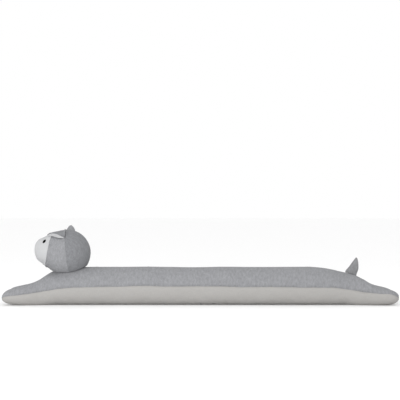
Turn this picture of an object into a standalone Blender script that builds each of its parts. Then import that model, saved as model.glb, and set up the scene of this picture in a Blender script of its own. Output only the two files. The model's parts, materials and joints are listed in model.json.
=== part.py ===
# A draught excluder: a stuffed cloth animal that lies stretched out along the foot of a door.
# Metres, +Z up. The head points to -X and the tail to +X, and the belly rests on Z = 0.
# The origin is under the middle of the trunk, so the animal is the same on both sides of
# the XZ plane, but for its ears: the left one has flopped forward, the right one sticks out.
# The tables below hold millimetres, because a maker's pattern would.
import math
from collections import namedtuple

import bpy
from mathutils import Vector

MM = 0.001
X_AXIS = 0
Z_AXIS = 2

# driving sizes of the whole animal
LENGTH = 900.0
SEAM_GAP = 0.3
GROUND = 0.0

# the cloth is drawn in at the side seam, in proportion to how wide the section is
SEAM_PINCH = 0.033
SEAM_LOWEST_SHARE = 0.35
SEAM_HIGHEST_SHARE = 0.65

# the long stuffed trunk, from the chest to the rump
Station = namedtuple("Station", "x bottom top half_width")
TRUNK = [
    Station(-374.0, 20.0, 38.0, 8.0),
    Station(-370.5, 13.0, 47.0, 17.5),
    Station(-364.0, 6.0, 56.5, 28.5),
    Station(-355.0, 0.5, 64.5, 38.5),
    Station(-345.0, -2.0, 70.6, 44.0),
    Station(-332.0, -2.0, 75.6, 46.6),
    Station(-312.0, -2.0, 80.2, 47.8),
    Station(-285.0, -2.0, 83.4, 48.4),
    Station(-245.0, -2.0, 84.8, 48.2),
    Station(-185.0, -2.0, 84.6, 47.4),
    Station(-125.0, -2.0, 84.8, 48.3),
    Station(-65.0, -2.0, 84.5, 47.6),
    Station(0.0, -2.0, 84.1, 47.2),
    Station(65.0, -2.0, 84.7, 48.0),
    Station(130.0, -2.0, 84.5, 47.5),
    Station(195.0, -2.0, 84.8, 48.4),
    Station(255.0, -2.0, 84.5, 48.2),
    Station(287.0, -2.0, 82.0, 47.8),
    Station(315.0, -2.0, 75.6, 46.8),
    Station(340.0, -2.0, 69.6, 45.2),
    Station(355.0, -0.8, 64.9, 40.5),
    Station(366.0, 4.0, 58.0, 30.5),
    Station(373.0, 11.0, 47.5, 18.5),
    Station(376.5, 19.0, 38.0, 8.0),
]
TRUNK_RING_SPACING = 13.0
TRUNK_CLEAR_SIDE = 70.0
TRUNK_CLEAR_TOP = 120.0
SIDE_SEAM_STEPS = 130
SIDE_SEAM_OVERRUN = 5.0

# the two front legs and the two hind legs, from the paw's tip back into the trunk
LegStation = namedtuple("LegStation", "reach bottom top half_width centre_y")
FRONT_LEG = [
    LegStation(0.5, 13.0, 20.5, 5.0, 31.0),
    LegStation(2.4, 9.6, 24.4, 9.8, 31.0),
    LegStation(5.4, 7.2, 28.0, 14.2, 31.0),
    LegStation(10.0, 4.8, 31.8, 18.0, 31.0),
    LegStation(18.0, 2.4, 35.9, 21.2, 30.6),
    LegStation(27.0, 0.2, 38.4, 22.6, 30.0),
    LegStation(38.0, -1.4, 40.7, 23.0, 29.0),
    LegStation(54.0, -2.0, 44.4, 23.0, 27.6),
    LegStation(69.0, -2.0, 49.4, 23.0, 26.2),
    LegStation(86.0, -2.0, 56.0, 23.0, 25.0),
    LegStation(102.0, 0.0, 60.0, 20.0, 24.0),
    LegStation(125.0, 6.0, 58.0, 13.0, 22.0),
]
HIND_LEG = [
    LegStation(0.5, 13.0, 20.5, 5.0, 32.0),
    LegStation(2.4, 9.6, 24.6, 9.8, 32.0),
    LegStation(6.1, 6.6, 28.7, 14.6, 32.0),
    LegStation(12.7, 3.4, 32.2, 19.0, 31.8),
    LegStation(24.3, 0.6, 36.0, 22.2, 31.0),
    LegStation(38.0, -1.4, 39.4, 23.0, 29.8),
    LegStation(52.0, -2.0, 43.8, 23.0, 28.4),
    LegStation(66.0, -2.0, 50.0, 23.0, 27.0),
    LegStation(82.0, -2.0, 56.0, 23.0, 25.6),
    LegStation(98.0, 0.0, 60.0, 20.0, 24.4),
    LegStation(120.0, 6.0, 58.0, 13.0, 22.0),
]

# the height of the side seam, where the back is sewn to the belly
SeamPoint = namedtuple("SeamPoint", "x z")
SIDE_SEAM = [
    SeamPoint(-455.0, 17.5),
    SeamPoint(-432.0, 22.0),
    SeamPoint(-405.0, 24.6),
    SeamPoint(-380.0, 27.8),
    SeamPoint(-350.0, 33.0),
    SeamPoint(-318.0, 38.0),
    SeamPoint(-285.0, 41.0),
    SeamPoint(-240.0, 42.2),
    SeamPoint(-185.0, 43.4),
    SeamPoint(-126.0, 45.0),
    SeamPoint(-70.0, 43.4),
    SeamPoint(0.0, 43.8),
    SeamPoint(50.0, 43.4),
    SeamPoint(100.0, 42.0),
    SeamPoint(160.0, 42.4),
    SeamPoint(230.0, 41.2),
    SeamPoint(295.0, 40.8),
    SeamPoint(325.0, 37.6),
    SeamPoint(352.0, 33.6),
    SeamPoint(372.0, 30.0),
    SeamPoint(400.0, 28.0),
    SeamPoint(425.0, 26.5),
    SeamPoint(440.0, 22.0),
    SeamPoint(455.0, 16.0),
]

# edges sharper than this stay sharp where the cloth is shaded
SHARP_ANGLE = 50.0

# angles round a stuffed section from one side seam, close together at both seams
QUARTER_ANGLES = [0.0, 8.0, 21.0, 35.0, 49.0, 63.0, 77.0]
HALF_ANGLES = QUARTER_ANGLES + [90.0] + [180.0 - angle for angle in reversed(QUARTER_ANGLES[1:])]
SECTION_ANGLES = HALF_ANGLES + [180.0 + angle for angle in HALF_ANGLES]

# the ball of the head: its side outline as radii round its centre
HEAD_X = -315.0
HEAD_Z = 120.0
HEAD_HALF_WIDTH = 57.0
MUZZLE_NARROWING = 0.10
OutlinePoint = namedtuple("OutlinePoint", "angle radius")
HEAD_OUTLINE = [
    OutlinePoint(0.0, 63.4),
    OutlinePoint(25.0, 60.6),
    OutlinePoint(45.0, 57.4),
    OutlinePoint(58.0, 54.8),
    OutlinePoint(71.0, 52.0),
    OutlinePoint(86.0, 49.4),
    OutlinePoint(106.0, 47.6),
    OutlinePoint(127.0, 50.8),
    OutlinePoint(141.0, 53.6),
    OutlinePoint(156.0, 62.6),
    OutlinePoint(168.0, 65.2),
    OutlinePoint(180.0, 64.8),
    OutlinePoint(194.0, 62.2),
    OutlinePoint(212.0, 54.0),
    OutlinePoint(233.0, 49.8),
    OutlinePoint(262.0, 52.0),
    OutlinePoint(300.0, 57.0),
    OutlinePoint(328.0, 62.0),
    OutlinePoint(342.0, 63.0),
]
HEAD_STEPS_ROUND = 48
HEAD_STEPS_ACROSS = 14
HEAD_CLEAR_REACH = 90.0
HEAD_CLEAR_SIDE = 75.0
HEAD_CLEAR_LOW = 50.0
HEAD_CLEAR_HIGH = 190.0
HEAD_SEAM_STEPS = (20, 24)

# the seam between the pale face and the grey head, seen from the side
FACE_SEAM = [
    SeamPoint(-357.0, 70.0),
    SeamPoint(-350.5, 94.0),
    SeamPoint(-345.6, 112.0),
    SeamPoint(-342.8, 126.0),
    SeamPoint(-340.2, 142.0),
    SeamPoint(-335.8, 160.0),
    SeamPoint(-333.0, 176.0),
]
FACE_PEAK = 11.0
FACE_PEAK_HALF_WIDTH = 20.0
FACE_PEAK_LOW_Z = 135.0
FACE_PEAK_HIGH_Z = 165.0

# the seam down the side of the head, which holds the ears
EAR_SEAM_TOP_X = -306.2
EAR_SEAM_TOP_Z = 155.0
EAR_SEAM_LEAN = -0.105

# the ears: a leaf of grey jersey with a pale lining that shows as a rim along one edge
EAR_OUTER_THICKNESS = 1.3
EAR_LINING_THICKNESS = 1.5
EAR_STEPS_ALONG = 18
EAR_STEPS_ACROSS = 10
EarStation = namedtuple("EarStation", "along half_width")
EAR_LEAF = [
    EarStation(-0.3, 11.0),
    EarStation(0.0, 12.4),
    EarStation(0.22, 14.0),
    EarStation(0.45, 13.4),
    EarStation(0.68, 11.2),
    EarStation(0.85, 8.4),
    EarStation(0.95, 5.2),
    EarStation(1.0, 1.6),
]

# the left ear lies forward over the brow: its turn and lift on the head, and how far off it is
LyingStation = namedtuple("LyingStation", "along turn lift clearance")
LEFT_EAR_LIE = [
    LyingStation(0.0, 77.5, -37.0, 0.5),
    LyingStation(0.3, 92.5, -35.6, 0.6),
    LyingStation(0.65, 111.5, -29.6, 0.6),
    LyingStation(1.0, 131.0, -21.0, 0.6),
]
LEFT_EAR_EDGE_LIFT = 3.2
LEFT_EAR_EDGE_START = 0.25
LEFT_EAR_TIP_FLATNESS = 0.8

# how much of the pale lining the left ear's grey leaf leaves bare along its low edge
RimStation = namedtuple("RimStation", "along width")
LEFT_EAR_RIM = [
    RimStation(0.0, 1.4),
    RimStation(0.15, 4.4),
    RimStation(0.35, 9.4),
    RimStation(0.55, 14.0),
    RimStation(0.72, 16.0),
    RimStation(0.85, 13.4),
    RimStation(0.95, 8.4),
    RimStation(1.0, 2.0),
]

# the right ear stands out sideways, gathered at its root, and turns towards its tip
RIGHT_EAR_ROOT = (-302.5, 30.0, 157.2)
RIGHT_EAR_RISE = 30.2
RIGHT_EAR_SWEEP = -3.2
RIGHT_EAR_LENGTH = 39.3
RIGHT_EAR_GATHER = 0.98
RIGHT_EAR_ROOT_TWIST = -30.0
RIGHT_EAR_TIP_TWIST = -94.5
RIGHT_EAR_TURNED_BY = 0.7
RIGHT_EAR_CUP = 1.38
RIGHT_EAR_START = -0.28

# the flat, lightly stuffed tail, as its outline from the front of its base to the rear
TAIL_THICKNESS = 9.0
TAIL_EDGE_THICKNESS = 1.4
TailPoint = namedtuple("TailPoint", "x z")
TAIL_OUTLINE = [
    TailPoint(334.0, 60.0),
    TailPoint(332.4, 74.6),
    TailPoint(339.6, 84.4),
    TailPoint(347.5, 95.0),
    TailPoint(352.5, 103.4),
    TailPoint(355.2, 105.6),
    TailPoint(358.0, 104.2),
    TailPoint(361.2, 99.0),
    TailPoint(362.8, 92.0),
    TailPoint(362.8, 80.0),
    TailPoint(360.6, 68.0),
    TailPoint(358.0, 55.0),
]
TAIL_STEPS_BETWEEN = 2
TailRing = namedtuple("TailRing", "size fullness")
TAIL_RINGS = [
    TailRing(1.0, 0.0),
    TailRing(0.93, 0.45),
    TailRing(0.78, 0.72),
    TailRing(0.55, 0.9),
    TailRing(0.28, 0.985),
]

# the eyes, one slanted satin stitch each
EYE_FRONT = SeamPoint(-356.5, 140.8)
EYE_REAR = SeamPoint(-350.0, 148.2)
EYE_HALF_WIDTH = 2.4
EYE_HALF_THICKNESS = 0.8
EYE_CLEARANCE = 0.15
EYE_SIDES = 8
StitchPart = namedtuple("StitchPart", "share size")
EYE_ROUNDING = [
    StitchPart(0.0, 0.35),
    StitchPart(0.12, 0.8),
    StitchPart(0.35, 1.0),
    StitchPart(0.65, 1.0),
    StitchPart(0.88, 0.8),
    StitchPart(1.0, 0.35),
]

Cloth = namedtuple("Cloth", "name colour roughness")
GREY_JERSEY = Cloth("grey_jersey", (0.36, 0.36, 0.37, 1.0), 0.95)
BEIGE_COTTON = Cloth("beige_cotton", (0.50, 0.47, 0.44, 1.0), 0.9)
PALE_PLUSH = Cloth("pale_plush", (0.68, 0.69, 0.69, 1.0), 0.95)
BLACK_THREAD = Cloth("black_thread", (0.01, 0.01, 0.012, 1.0), 0.6)


def clear_scene():
    for old in list(bpy.data.objects):
        bpy.data.objects.remove(old, do_unlink=True)


def cloth_material(cloth):
    material = bpy.data.materials.get(cloth.name) or bpy.data.materials.new(cloth.name)
    material.use_nodes = True
    shader = material.node_tree.nodes["Principled BSDF"]
    shader.inputs["Base Color"].default_value = cloth.colour
    shader.inputs["Roughness"].default_value = cloth.roughness
    shader.inputs["Metallic"].default_value = 0.0
    return material


def read_curve(table, key, column, at):
    """A smooth value of one column of a table, between its rows, at a value of the key column."""
    keys = [getattr(row, key) for row in table]
    values = [getattr(row, column) for row in table]
    if at <= keys[0]:
        return values[0]
    if at >= keys[-1]:
        return values[-1]
    place = next(i for i in range(len(keys) - 1) if keys[i] <= at <= keys[i + 1])
    span = keys[place + 1] - keys[place]
    part = (at - keys[place]) / span
    slope_in = row_slope(keys, values, place) * span
    slope_out = row_slope(keys, values, place + 1) * span
    start = values[place]
    end = values[place + 1]
    cubic = 2.0 * start - 2.0 * end + slope_in + slope_out
    square = 3.0 * end - 3.0 * start - 2.0 * slope_in - slope_out
    return ((cubic * part + square) * part + slope_in) * part + start


def row_slope(keys, values, place):
    """The slope of a smooth curve at a row, level where the values turn."""
    if place == 0:
        return (values[1] - values[0]) / (keys[1] - keys[0])
    if place == len(keys) - 1:
        return (values[-1] - values[-2]) / (keys[-1] - keys[-2])
    before = (values[place] - values[place - 1]) / (keys[place] - keys[place - 1])
    after = (values[place + 1] - values[place]) / (keys[place + 1] - keys[place])
    if before * after <= 0.0:
        return 0.0
    return 2.0 * before * after / (before + after)


def side_seam_z(x):
    return read_curve(SIDE_SEAM, "x", "z", x)


def stuffed_ring(x, bottom, top, half_width, centre_y, grow=0.0):
    """One section of a stuffed tube: an arch above the side seam and a bowl below it,
    drawn in a little at the seam itself."""
    tall = top - bottom
    seam = min(max(side_seam_z(x), bottom + SEAM_LOWEST_SHARE * tall), bottom + SEAM_HIGHEST_SHARE * tall)
    ring = []
    for angle in SECTION_ANGLES:
        turn = math.radians(angle)
        at_seam = angle % 180.0 == 0.0
        reach = (half_width + grow) * (1.0 - SEAM_PINCH * at_seam)
        height = (top - seam if angle <= 180.0 else seam - bottom) + grow
        ring.append((x, centre_y + reach * math.cos(turn), seam + height * math.sin(turn)))
    return ring


def make_object(name, points, faces, cloth=None):
    flat_faces = [(face[0], b, c) for face in faces for b, c in zip(face[1:], face[2:])]
    mesh = bpy.data.meshes.new(name)
    mesh.from_pydata([tuple(c * MM for c in point) for point in points], [], flat_faces)
    mesh.validate()
    mesh.update()
    made = bpy.data.objects.new(name, mesh)
    bpy.context.scene.collection.objects.link(made)
    if cloth is None:
        made.hide_render = True
        made.display_type = "WIRE"
    else:
        mesh.materials.append(cloth_material(cloth))
        mesh.shade_smooth()
        mesh.set_sharp_from_angle(angle=math.radians(SHARP_ANGLE))
    return made


def skin_rings(rings, closed_ends=True):
    """Faces of a tube through rings of equal size, each ring running the same way round."""
    points = [point for ring in rings for point in ring]
    size = len(rings[0])
    faces = []
    for row in range(len(rings) - 1):
        for side in range(size):
            after = (side + 1) % size
            low = row * size
            high = low + size
            faces.append((low + side, high + side, high + after, low + after))
    if closed_ends:
        for row, backwards in ((0, False), (len(rings) - 1, True)):
            centre = sum((Vector(point) for point in rings[row]), Vector()) / size
            points.append(tuple(centre))
            for side in range(size):
                edge = (row * size + side, row * size + (side + 1) % size)
                faces.append((*(reversed(edge) if backwards else edge), len(points) - 1))
    return points, faces


def spaced_stations(table, spacing):
    """The table's own stations, with others between them where they lie far apart."""
    stations = []
    for here, after in zip(table, table[1:]):
        steps = max(1, round((after[0] - here[0]) / spacing))
        stations += [here[0] + (after[0] - here[0]) * step / steps for step in range(steps)]
    return stations + [table[-1][0]]


def trunk_form(grow=0.0):
    rings = []
    for x in spaced_stations(TRUNK, TRUNK_RING_SPACING):
        bottom, top, half_width = (read_curve(TRUNK, "x", column, x) for column in Station._fields[1:])
        rings.append(stuffed_ring(x, bottom, top, half_width, 0.0, grow))
    return skin_rings(rings)


def leg_form(table, end, side):
    """One leg. end is -1 at the head and +1 at the tail, side is -1 on the left and +1 on the right."""
    rings = []
    for row in table:
        x = end * (LENGTH / 2.0 - row.reach)
        rings.append(stuffed_ring(x, row.bottom, row.top, row.half_width, side * row.centre_y))
    if end > 0:
        rings.reverse()
    return skin_rings(rings)


def seam_block(name, corners, seam, far, axis):
    """A closed block between a seam's surface and a flat far side, along one axis. corners holds
    the values of the other two axes at which the seam is read."""
    first, second = corners
    others = [i for i in range(3) if i != axis]
    points = []
    for layer in range(2):
        for a in first:
            for b in second:
                point = [0.0, 0.0, 0.0]
                point[others[0]] = a
                point[others[1]] = b
                point[axis] = seam(a, b) if layer == 0 else far
                points.append(tuple(point))
    across = len(second)
    layer_size = len(first) * across
    faces = []
    for i in range(len(first) - 1):
        for j in range(across - 1):
            low = i * across + j
            quad = (low, low + 1, low + across + 1, low + across)
            faces.append(quad)
            faces.append(tuple(layer_size + corner for corner in reversed(quad)))
    for here, after in rim_pairs(len(first), across):
        faces.append((here, after, layer_size + after, layer_size + here))
    block = make_object(name, points, faces)
    return turned_outwards(block)


def turned_outwards(made):
    """The object with its faces pointing out, found from the sign of its volume."""
    mesh = made.data
    volume = 0.0
    for polygon in mesh.polygons:
        corners = [mesh.vertices[i].co for i in polygon.vertices]
        for a, b in zip(corners[1:], corners[2:]):
            volume += corners[0].dot(a.cross(b))
    if volume < 0.0:
        mesh.flip_normals()
    return made


def add_boolean(made, operation, cutter):
    modifier = made.modifiers.new(operation.lower(), "BOOLEAN")
    modifier.operation = operation
    modifier.solver = "EXACT"
    modifier.object = cutter


def grid(start, end, steps):
    return [start + (end - start) * step / steps for step in range(steps + 1)]


def build_trunk():
    """The back and the belly, each with its half of the legs, sewn at the side seam."""
    legs = []
    for table, end, place in ((FRONT_LEG, -1, "front"), (HIND_LEG, 1, "hind")):
        for side, hand in ((-1, "left"), (1, "right")):
            points, faces = leg_form(table, end, side)
            legs.append(turned_outwards(make_object(f"form_{place}_leg_{hand}", points, faces)))
    half_length = LENGTH / 2.0 + SIDE_SEAM_OVERRUN
    corners = (grid(-half_length, half_length, SIDE_SEAM_STEPS), [-TRUNK_CLEAR_SIDE, TRUNK_CLEAR_SIDE])
    half_gap = SEAM_GAP / 2.0
    above = seam_block(
        "cut_above_side_seam", corners, lambda x, y: side_seam_z(x) + half_gap, TRUNK_CLEAR_TOP, Z_AXIS
    )
    below = seam_block(
        "cut_below_side_seam", corners, lambda x, y: side_seam_z(x) - half_gap, GROUND, Z_AXIS
    )
    for name, cloth, block in (("back", GREY_JERSEY, above), ("belly", BEIGE_COTTON, below)):
        points, faces = trunk_form()
        panel = turned_outwards(make_object(name, points, faces, cloth))
        for leg in legs:
            add_boolean(panel, "UNION", leg)
        add_boolean(panel, "INTERSECT", block)


def head_radius(angle):
    """The side outline's radius at an angle in degrees, round the whole head."""
    last = HEAD_OUTLINE[-1]
    first, second = HEAD_OUTLINE[:2]
    closed = [OutlinePoint(last.angle - 360.0, last.radius)] + HEAD_OUTLINE
    closed += [OutlinePoint(row.angle + 360.0, row.radius) for row in (first, second)]
    return read_curve(closed, "angle", "radius", angle % 360.0)


def head_point(angle, lift, grow=0.0):
    """A point of the head: angle turns in the side view, lift goes from -90 on the left cheek
    to 90 on the right one."""
    turn = math.radians(angle)
    out = (head_radius(angle) + grow) * math.cos(math.radians(lift))
    x = out * math.cos(turn)
    forward = max(0.0, -x / head_radius(180.0))
    width = (HEAD_HALF_WIDTH + grow) * (1.0 - MUZZLE_NARROWING * forward * forward)
    return Vector((HEAD_X + x, width * math.sin(math.radians(lift)), HEAD_Z + out * math.sin(turn)))


def head_surface(x, z, side, grow=0.0):
    """The point of the head's surface that is seen at x and z from the side."""
    from_centre = Vector((x - HEAD_X, z - HEAD_Z))
    angle = math.degrees(math.atan2(from_centre.y, from_centre.x))
    share = min(1.0, from_centre.length / (head_radius(angle) + grow))
    return head_point(angle, side * math.degrees(math.acos(share)), grow)


def head_form(grow=0.0):
    rings = []
    for step in range(1, HEAD_STEPS_ACROSS):
        lift = -90.0 + 180.0 * step / HEAD_STEPS_ACROSS
        turns = [360.0 * k / HEAD_STEPS_ROUND for k in range(HEAD_STEPS_ROUND)]
        rings.append([tuple(head_point(turn, lift, grow)) for turn in turns])
    points, faces = skin_rings(rings)
    for place, lift in ((-2, -90.0), (-1, 90.0)):
        points[place] = tuple(head_point(0.0, lift, grow))
    return points, faces


def face_seam_x(y, z):
    """The face's seam, which comes forward to a soft peak on the brow."""
    height = min(1.0, max(0.0, (z - FACE_PEAK_LOW_Z) / (FACE_PEAK_HIGH_Z - FACE_PEAK_LOW_Z)))
    peak = FACE_PEAK * height * math.exp(-((y / FACE_PEAK_HALF_WIDTH) ** 2))
    return read_curve(FACE_SEAM, "z", "x", z) - peak


def ear_seam_x(z):
    return EAR_SEAM_TOP_X + (z - EAR_SEAM_TOP_Z) * EAR_SEAM_LEAN


def build_head():
    """The pale face and the two grey halves of the head, sewn to each other and to the back."""
    seat = turned_outwards(make_object("cut_neck_seat", *trunk_form(SEAM_GAP)))
    steps_across, steps_up = HEAD_SEAM_STEPS
    corners = (
        grid(-HEAD_CLEAR_SIDE, HEAD_CLEAR_SIDE, steps_across),
        grid(HEAD_CLEAR_LOW, HEAD_CLEAR_HIGH, steps_up),
    )
    half = SEAM_GAP / 2.0
    front = HEAD_X - HEAD_CLEAR_REACH
    rear = HEAD_X + HEAD_CLEAR_REACH
    before_face = seam_block(
        "cut_before_face", corners, lambda y, z: face_seam_x(y, z) - half, front, X_AXIS
    )
    behind_face = seam_block(
        "cut_behind_face", corners, lambda y, z: face_seam_x(y, z) + half, rear, X_AXIS
    )
    before_ears = seam_block("cut_before_ears", corners, lambda y, z: ear_seam_x(z) - half, front, X_AXIS)
    behind_ears = seam_block("cut_behind_ears", corners, lambda y, z: ear_seam_x(z) + half, rear, X_AXIS)
    panels = (
        ("face", PALE_PLUSH, (before_face,)),
        ("head_front", GREY_JERSEY, (behind_face, before_ears)),
        ("head_back", GREY_JERSEY, (behind_ears,)),
    )
    for name, cloth, blocks in panels:
        panel = turned_outwards(make_object(name, *head_form(), cloth))
        for block in blocks:
            add_boolean(panel, "INTERSECT", block)
        add_boolean(panel, "DIFFERENCE", seat)


def build_eyes():
    """One slanted stitch on each side of the face, standing just off the cloth."""
    lift = SEAM_GAP + EYE_HALF_THICKNESS + EYE_CLEARANCE
    for side, hand in ((-1, "left"), (1, "right")):
        front = head_surface(EYE_FRONT.x, EYE_FRONT.z, side)
        rear = head_surface(EYE_REAR.x, EYE_REAR.z, side)
        along = (rear - front).normalized()
        rings = []
        for share, size in EYE_ROUNDING:
            x = EYE_FRONT.x + (EYE_REAR.x - EYE_FRONT.x) * share
            z = EYE_FRONT.z + (EYE_REAR.z - EYE_FRONT.z) * share
            foot = head_surface(x, z, side)
            nearby = head_surface(x + EYE_HALF_WIDTH, z, side) - foot
            out = along.cross(nearby).normalized()
            out = out if out.y * side > 0.0 else -out
            across = along.cross(out).normalized()
            ring = []
            for k in range(EYE_SIDES):
                turn = math.tau * k / EYE_SIDES
                wide = across * (EYE_HALF_WIDTH * size * math.cos(turn))
                ring.append(tuple(foot + out * (lift + EYE_HALF_THICKNESS * size * math.sin(turn)) + wide))
            rings.append(ring)
        turned_outwards(make_object(f"eye_{hand}", *skin_rings(rings), BLACK_THREAD))


def leaf_form(place, start, under, over):
    """A closed leaf of cloth. place gives the point at a share of the leaf's length, a share of
    its half width and a height above the leaf's own lower face."""
    points = []
    lengths = grid(start, 1.0, EAR_STEPS_ALONG)
    widths = grid(-1.0, 1.0, EAR_STEPS_ACROSS)
    for height in (under, over):
        points += [tuple(place(along, across, height)) for along in lengths for across in widths]
    across_count = len(widths)
    layer = len(lengths) * across_count
    faces = []
    for i in range(len(lengths) - 1):
        for j in range(across_count - 1):
            low = i * across_count + j
            high = low + across_count
            for half in ((low, low + 1, high + 1), (low, high + 1, high)):
                faces.append(half)
                faces.append(tuple(layer + corner for corner in reversed(half)))
    for here, after in rim_pairs(len(lengths), across_count):
        faces.append((here, after, layer + after, layer + here))
    return points, faces


def rim_pairs(rows, across):
    """The edge of a grid, as pairs of neighbouring point numbers, once round."""
    rim = [i * across for i in range(rows)]
    rim += [(rows - 1) * across + j for j in range(1, across)]
    rim += [i * across + across - 1 for i in range(rows - 2, -1, -1)]
    rim += list(range(across - 2, 0, -1))
    return list(zip(rim, rim[1:] + rim[:1]))


def left_ear_point(along, across, height, rim_table):
    """A point of the ear that lies over the brow. across runs from its low edge to its ridge."""
    turn = read_curve(LEFT_EAR_LIE, "along", "turn", along)
    lift = read_curve(LEFT_EAR_LIE, "along", "lift", along)
    clearance = read_curve(LEFT_EAR_LIE, "along", "clearance", along)
    half_width = read_curve(EAR_LEAF, "along", "half_width", along)
    rim = read_curve(rim_table, "along", "width", along) if rim_table else 0.0
    reach = rim - half_width + (2.0 * half_width - rim) * (across + 1.0) / 2.0
    degrees = math.degrees(reach / head_radius(turn))
    edge = min(1.0, along / LEFT_EAR_EDGE_START) * max(0.0, -reach / half_width) ** 2
    edge_lift = LEFT_EAR_EDGE_LIFT * edge * (1.0 - LEFT_EAR_TIP_FLATNESS * along ** 3)
    return head_point(turn, lift + degrees, clearance + edge_lift + height)


def right_ear_point(along, across, height):
    """A point of the ear that stands out. height grows from the lining to the grey back."""
    rise = math.radians(RIGHT_EAR_RISE)
    sweep = math.radians(RIGHT_EAR_SWEEP)
    part = min(1.0, max(0.0, along / RIGHT_EAR_TURNED_BY))
    turned = part * part * (3.0 - 2.0 * part)
    twist = math.radians(RIGHT_EAR_ROOT_TWIST * (1.0 - turned) + RIGHT_EAR_TIP_TWIST * turned)
    axis = Vector((math.sin(sweep) * math.cos(rise), math.cos(sweep) * math.cos(rise), math.sin(rise)))
    upright = Vector((-math.sin(sweep) * math.sin(rise), -math.cos(sweep) * math.sin(rise), math.cos(rise)))
    to_edge = upright * math.cos(twist) + axis.cross(upright) * math.sin(twist)
    to_back = axis.cross(to_edge)
    half_width = read_curve(EAR_LEAF, "along", "half_width", along) * RIGHT_EAR_GATHER
    radius = half_width / RIGHT_EAR_CUP
    centre = Vector(RIGHT_EAR_ROOT) + axis * (RIGHT_EAR_LENGTH * along)
    turn = RIGHT_EAR_CUP * across
    spoke = radius + height
    return centre + to_edge * (spoke * math.sin(turn)) + to_back * (spoke * math.cos(turn) - radius)


def build_ears():
    """Both ears, each a grey leaf over a pale one. On the left one the lining shows as a rim."""
    lining_top = EAR_LINING_THICKNESS
    outer_start = lining_top + SEAM_GAP
    outer_top = outer_start + EAR_OUTER_THICKNESS
    for name, cloth, under, over, rim_table in (
        ("ear_left_lining", PALE_PLUSH, 0.0, lining_top, None),
        ("ear_left", GREY_JERSEY, outer_start, outer_top, LEFT_EAR_RIM),
    ):
        form = leaf_form(
            lambda along, across, height: left_ear_point(along, across, height, rim_table), 0.0, under, over
        )
        turned_outwards(make_object(name, *form, cloth))
    seat = turned_outwards(make_object("cut_ear_seat", *head_form(SEAM_GAP)))
    for name, cloth, under, over in (
        ("ear_right_lining", PALE_PLUSH, 0.0, lining_top),
        ("ear_right", GREY_JERSEY, outer_start, outer_top),
    ):
        form = leaf_form(right_ear_point, RIGHT_EAR_START, under, over)
        ear = turned_outwards(make_object(name, *form, cloth))
        add_boolean(ear, "DIFFERENCE", seat)


def rounded_outline(table, steps):
    """A closed smooth line through a table of x and z, with a few points between its rows."""
    count = len(table)
    line = []
    for i in range(count):
        before, here, after, beyond = (Vector((*table[(i + k) % count], 0.0)) for k in (-1, 0, 1, 2))
        for step in range(steps):
            t = step / steps
            line.append((
                here * 2.0
                + (after - before) * t
                + (before * 2.0 - here * 5.0 + after * 4.0 - beyond) * t * t
                + (here * 3.0 - before - after * 3.0 + beyond) * t * t * t
            ) * 0.5)
    return line


def build_tail():
    """A flat pointed tail of two layers, thickest in its middle, sewn to the slope of the rump."""
    line = rounded_outline(TAIL_OUTLINE, TAIL_STEPS_BETWEEN)
    centre = sum(line, Vector()) / len(line)
    rings = []
    for side, order in ((-1, reversed(TAIL_RINGS)), (1, TAIL_RINGS)):
        for size, fullness in order:
            half = TAIL_EDGE_THICKNESS / 2.0 + (TAIL_THICKNESS - TAIL_EDGE_THICKNESS) / 2.0 * fullness
            ring = [centre + (point - centre) * size for point in line]
            rings.append([(point.x, side * half, point.y) for point in ring])
    tail = turned_outwards(make_object("tail", *skin_rings(rings), GREY_JERSEY))
    add_boolean(tail, "DIFFERENCE", bpy.data.objects["cut_neck_seat"])


def main():
    clear_scene()
    build_trunk()
    build_head()
    build_eyes()
    build_ears()
    build_tail()


main()
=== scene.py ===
import json
import math

import bpy
import numpy as np
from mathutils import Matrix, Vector, noise
from mathutils.bvhtree import BVHTree

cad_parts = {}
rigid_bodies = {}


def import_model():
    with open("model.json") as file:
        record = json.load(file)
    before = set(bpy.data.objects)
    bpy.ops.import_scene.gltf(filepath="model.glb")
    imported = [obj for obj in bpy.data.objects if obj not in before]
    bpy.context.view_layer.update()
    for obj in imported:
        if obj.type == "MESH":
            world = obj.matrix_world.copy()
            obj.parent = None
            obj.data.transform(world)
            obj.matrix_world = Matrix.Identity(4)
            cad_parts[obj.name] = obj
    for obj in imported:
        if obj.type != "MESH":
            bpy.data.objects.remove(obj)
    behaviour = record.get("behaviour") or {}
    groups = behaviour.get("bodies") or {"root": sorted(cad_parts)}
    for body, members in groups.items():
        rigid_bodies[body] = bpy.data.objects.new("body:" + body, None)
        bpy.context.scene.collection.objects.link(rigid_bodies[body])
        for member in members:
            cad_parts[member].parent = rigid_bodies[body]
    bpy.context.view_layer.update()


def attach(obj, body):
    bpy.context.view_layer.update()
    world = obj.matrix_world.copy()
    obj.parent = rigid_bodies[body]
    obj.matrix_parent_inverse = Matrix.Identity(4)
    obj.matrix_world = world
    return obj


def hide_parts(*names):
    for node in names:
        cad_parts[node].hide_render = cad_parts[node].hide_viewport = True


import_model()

# A stuffed cloth draught excluder: a long animal lying flat, head at -X, tail at +X.
# Sizes in the tables are millimetres, as in a maker's pattern; meshes are metres.
mm = 0.001
seamGap = 0.3

photoView = {
    "side": 400.0,           # pixels across and up
    "mmPerPixel": 2.2942,    # at the middle of the trunk
    "centreX": -0.7,
    "eyeHeight": 238.1,
    "distance": 2600.0,
    "sensor": 36.0,
}

lighting = {
    "place": (-0.95, -2.45, 0.6),
    "size": 1.5,
    "power": 38.0,
    "world": 1.0,
    "floorColour": (0.97, 0.97, 0.97),
}

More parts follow.
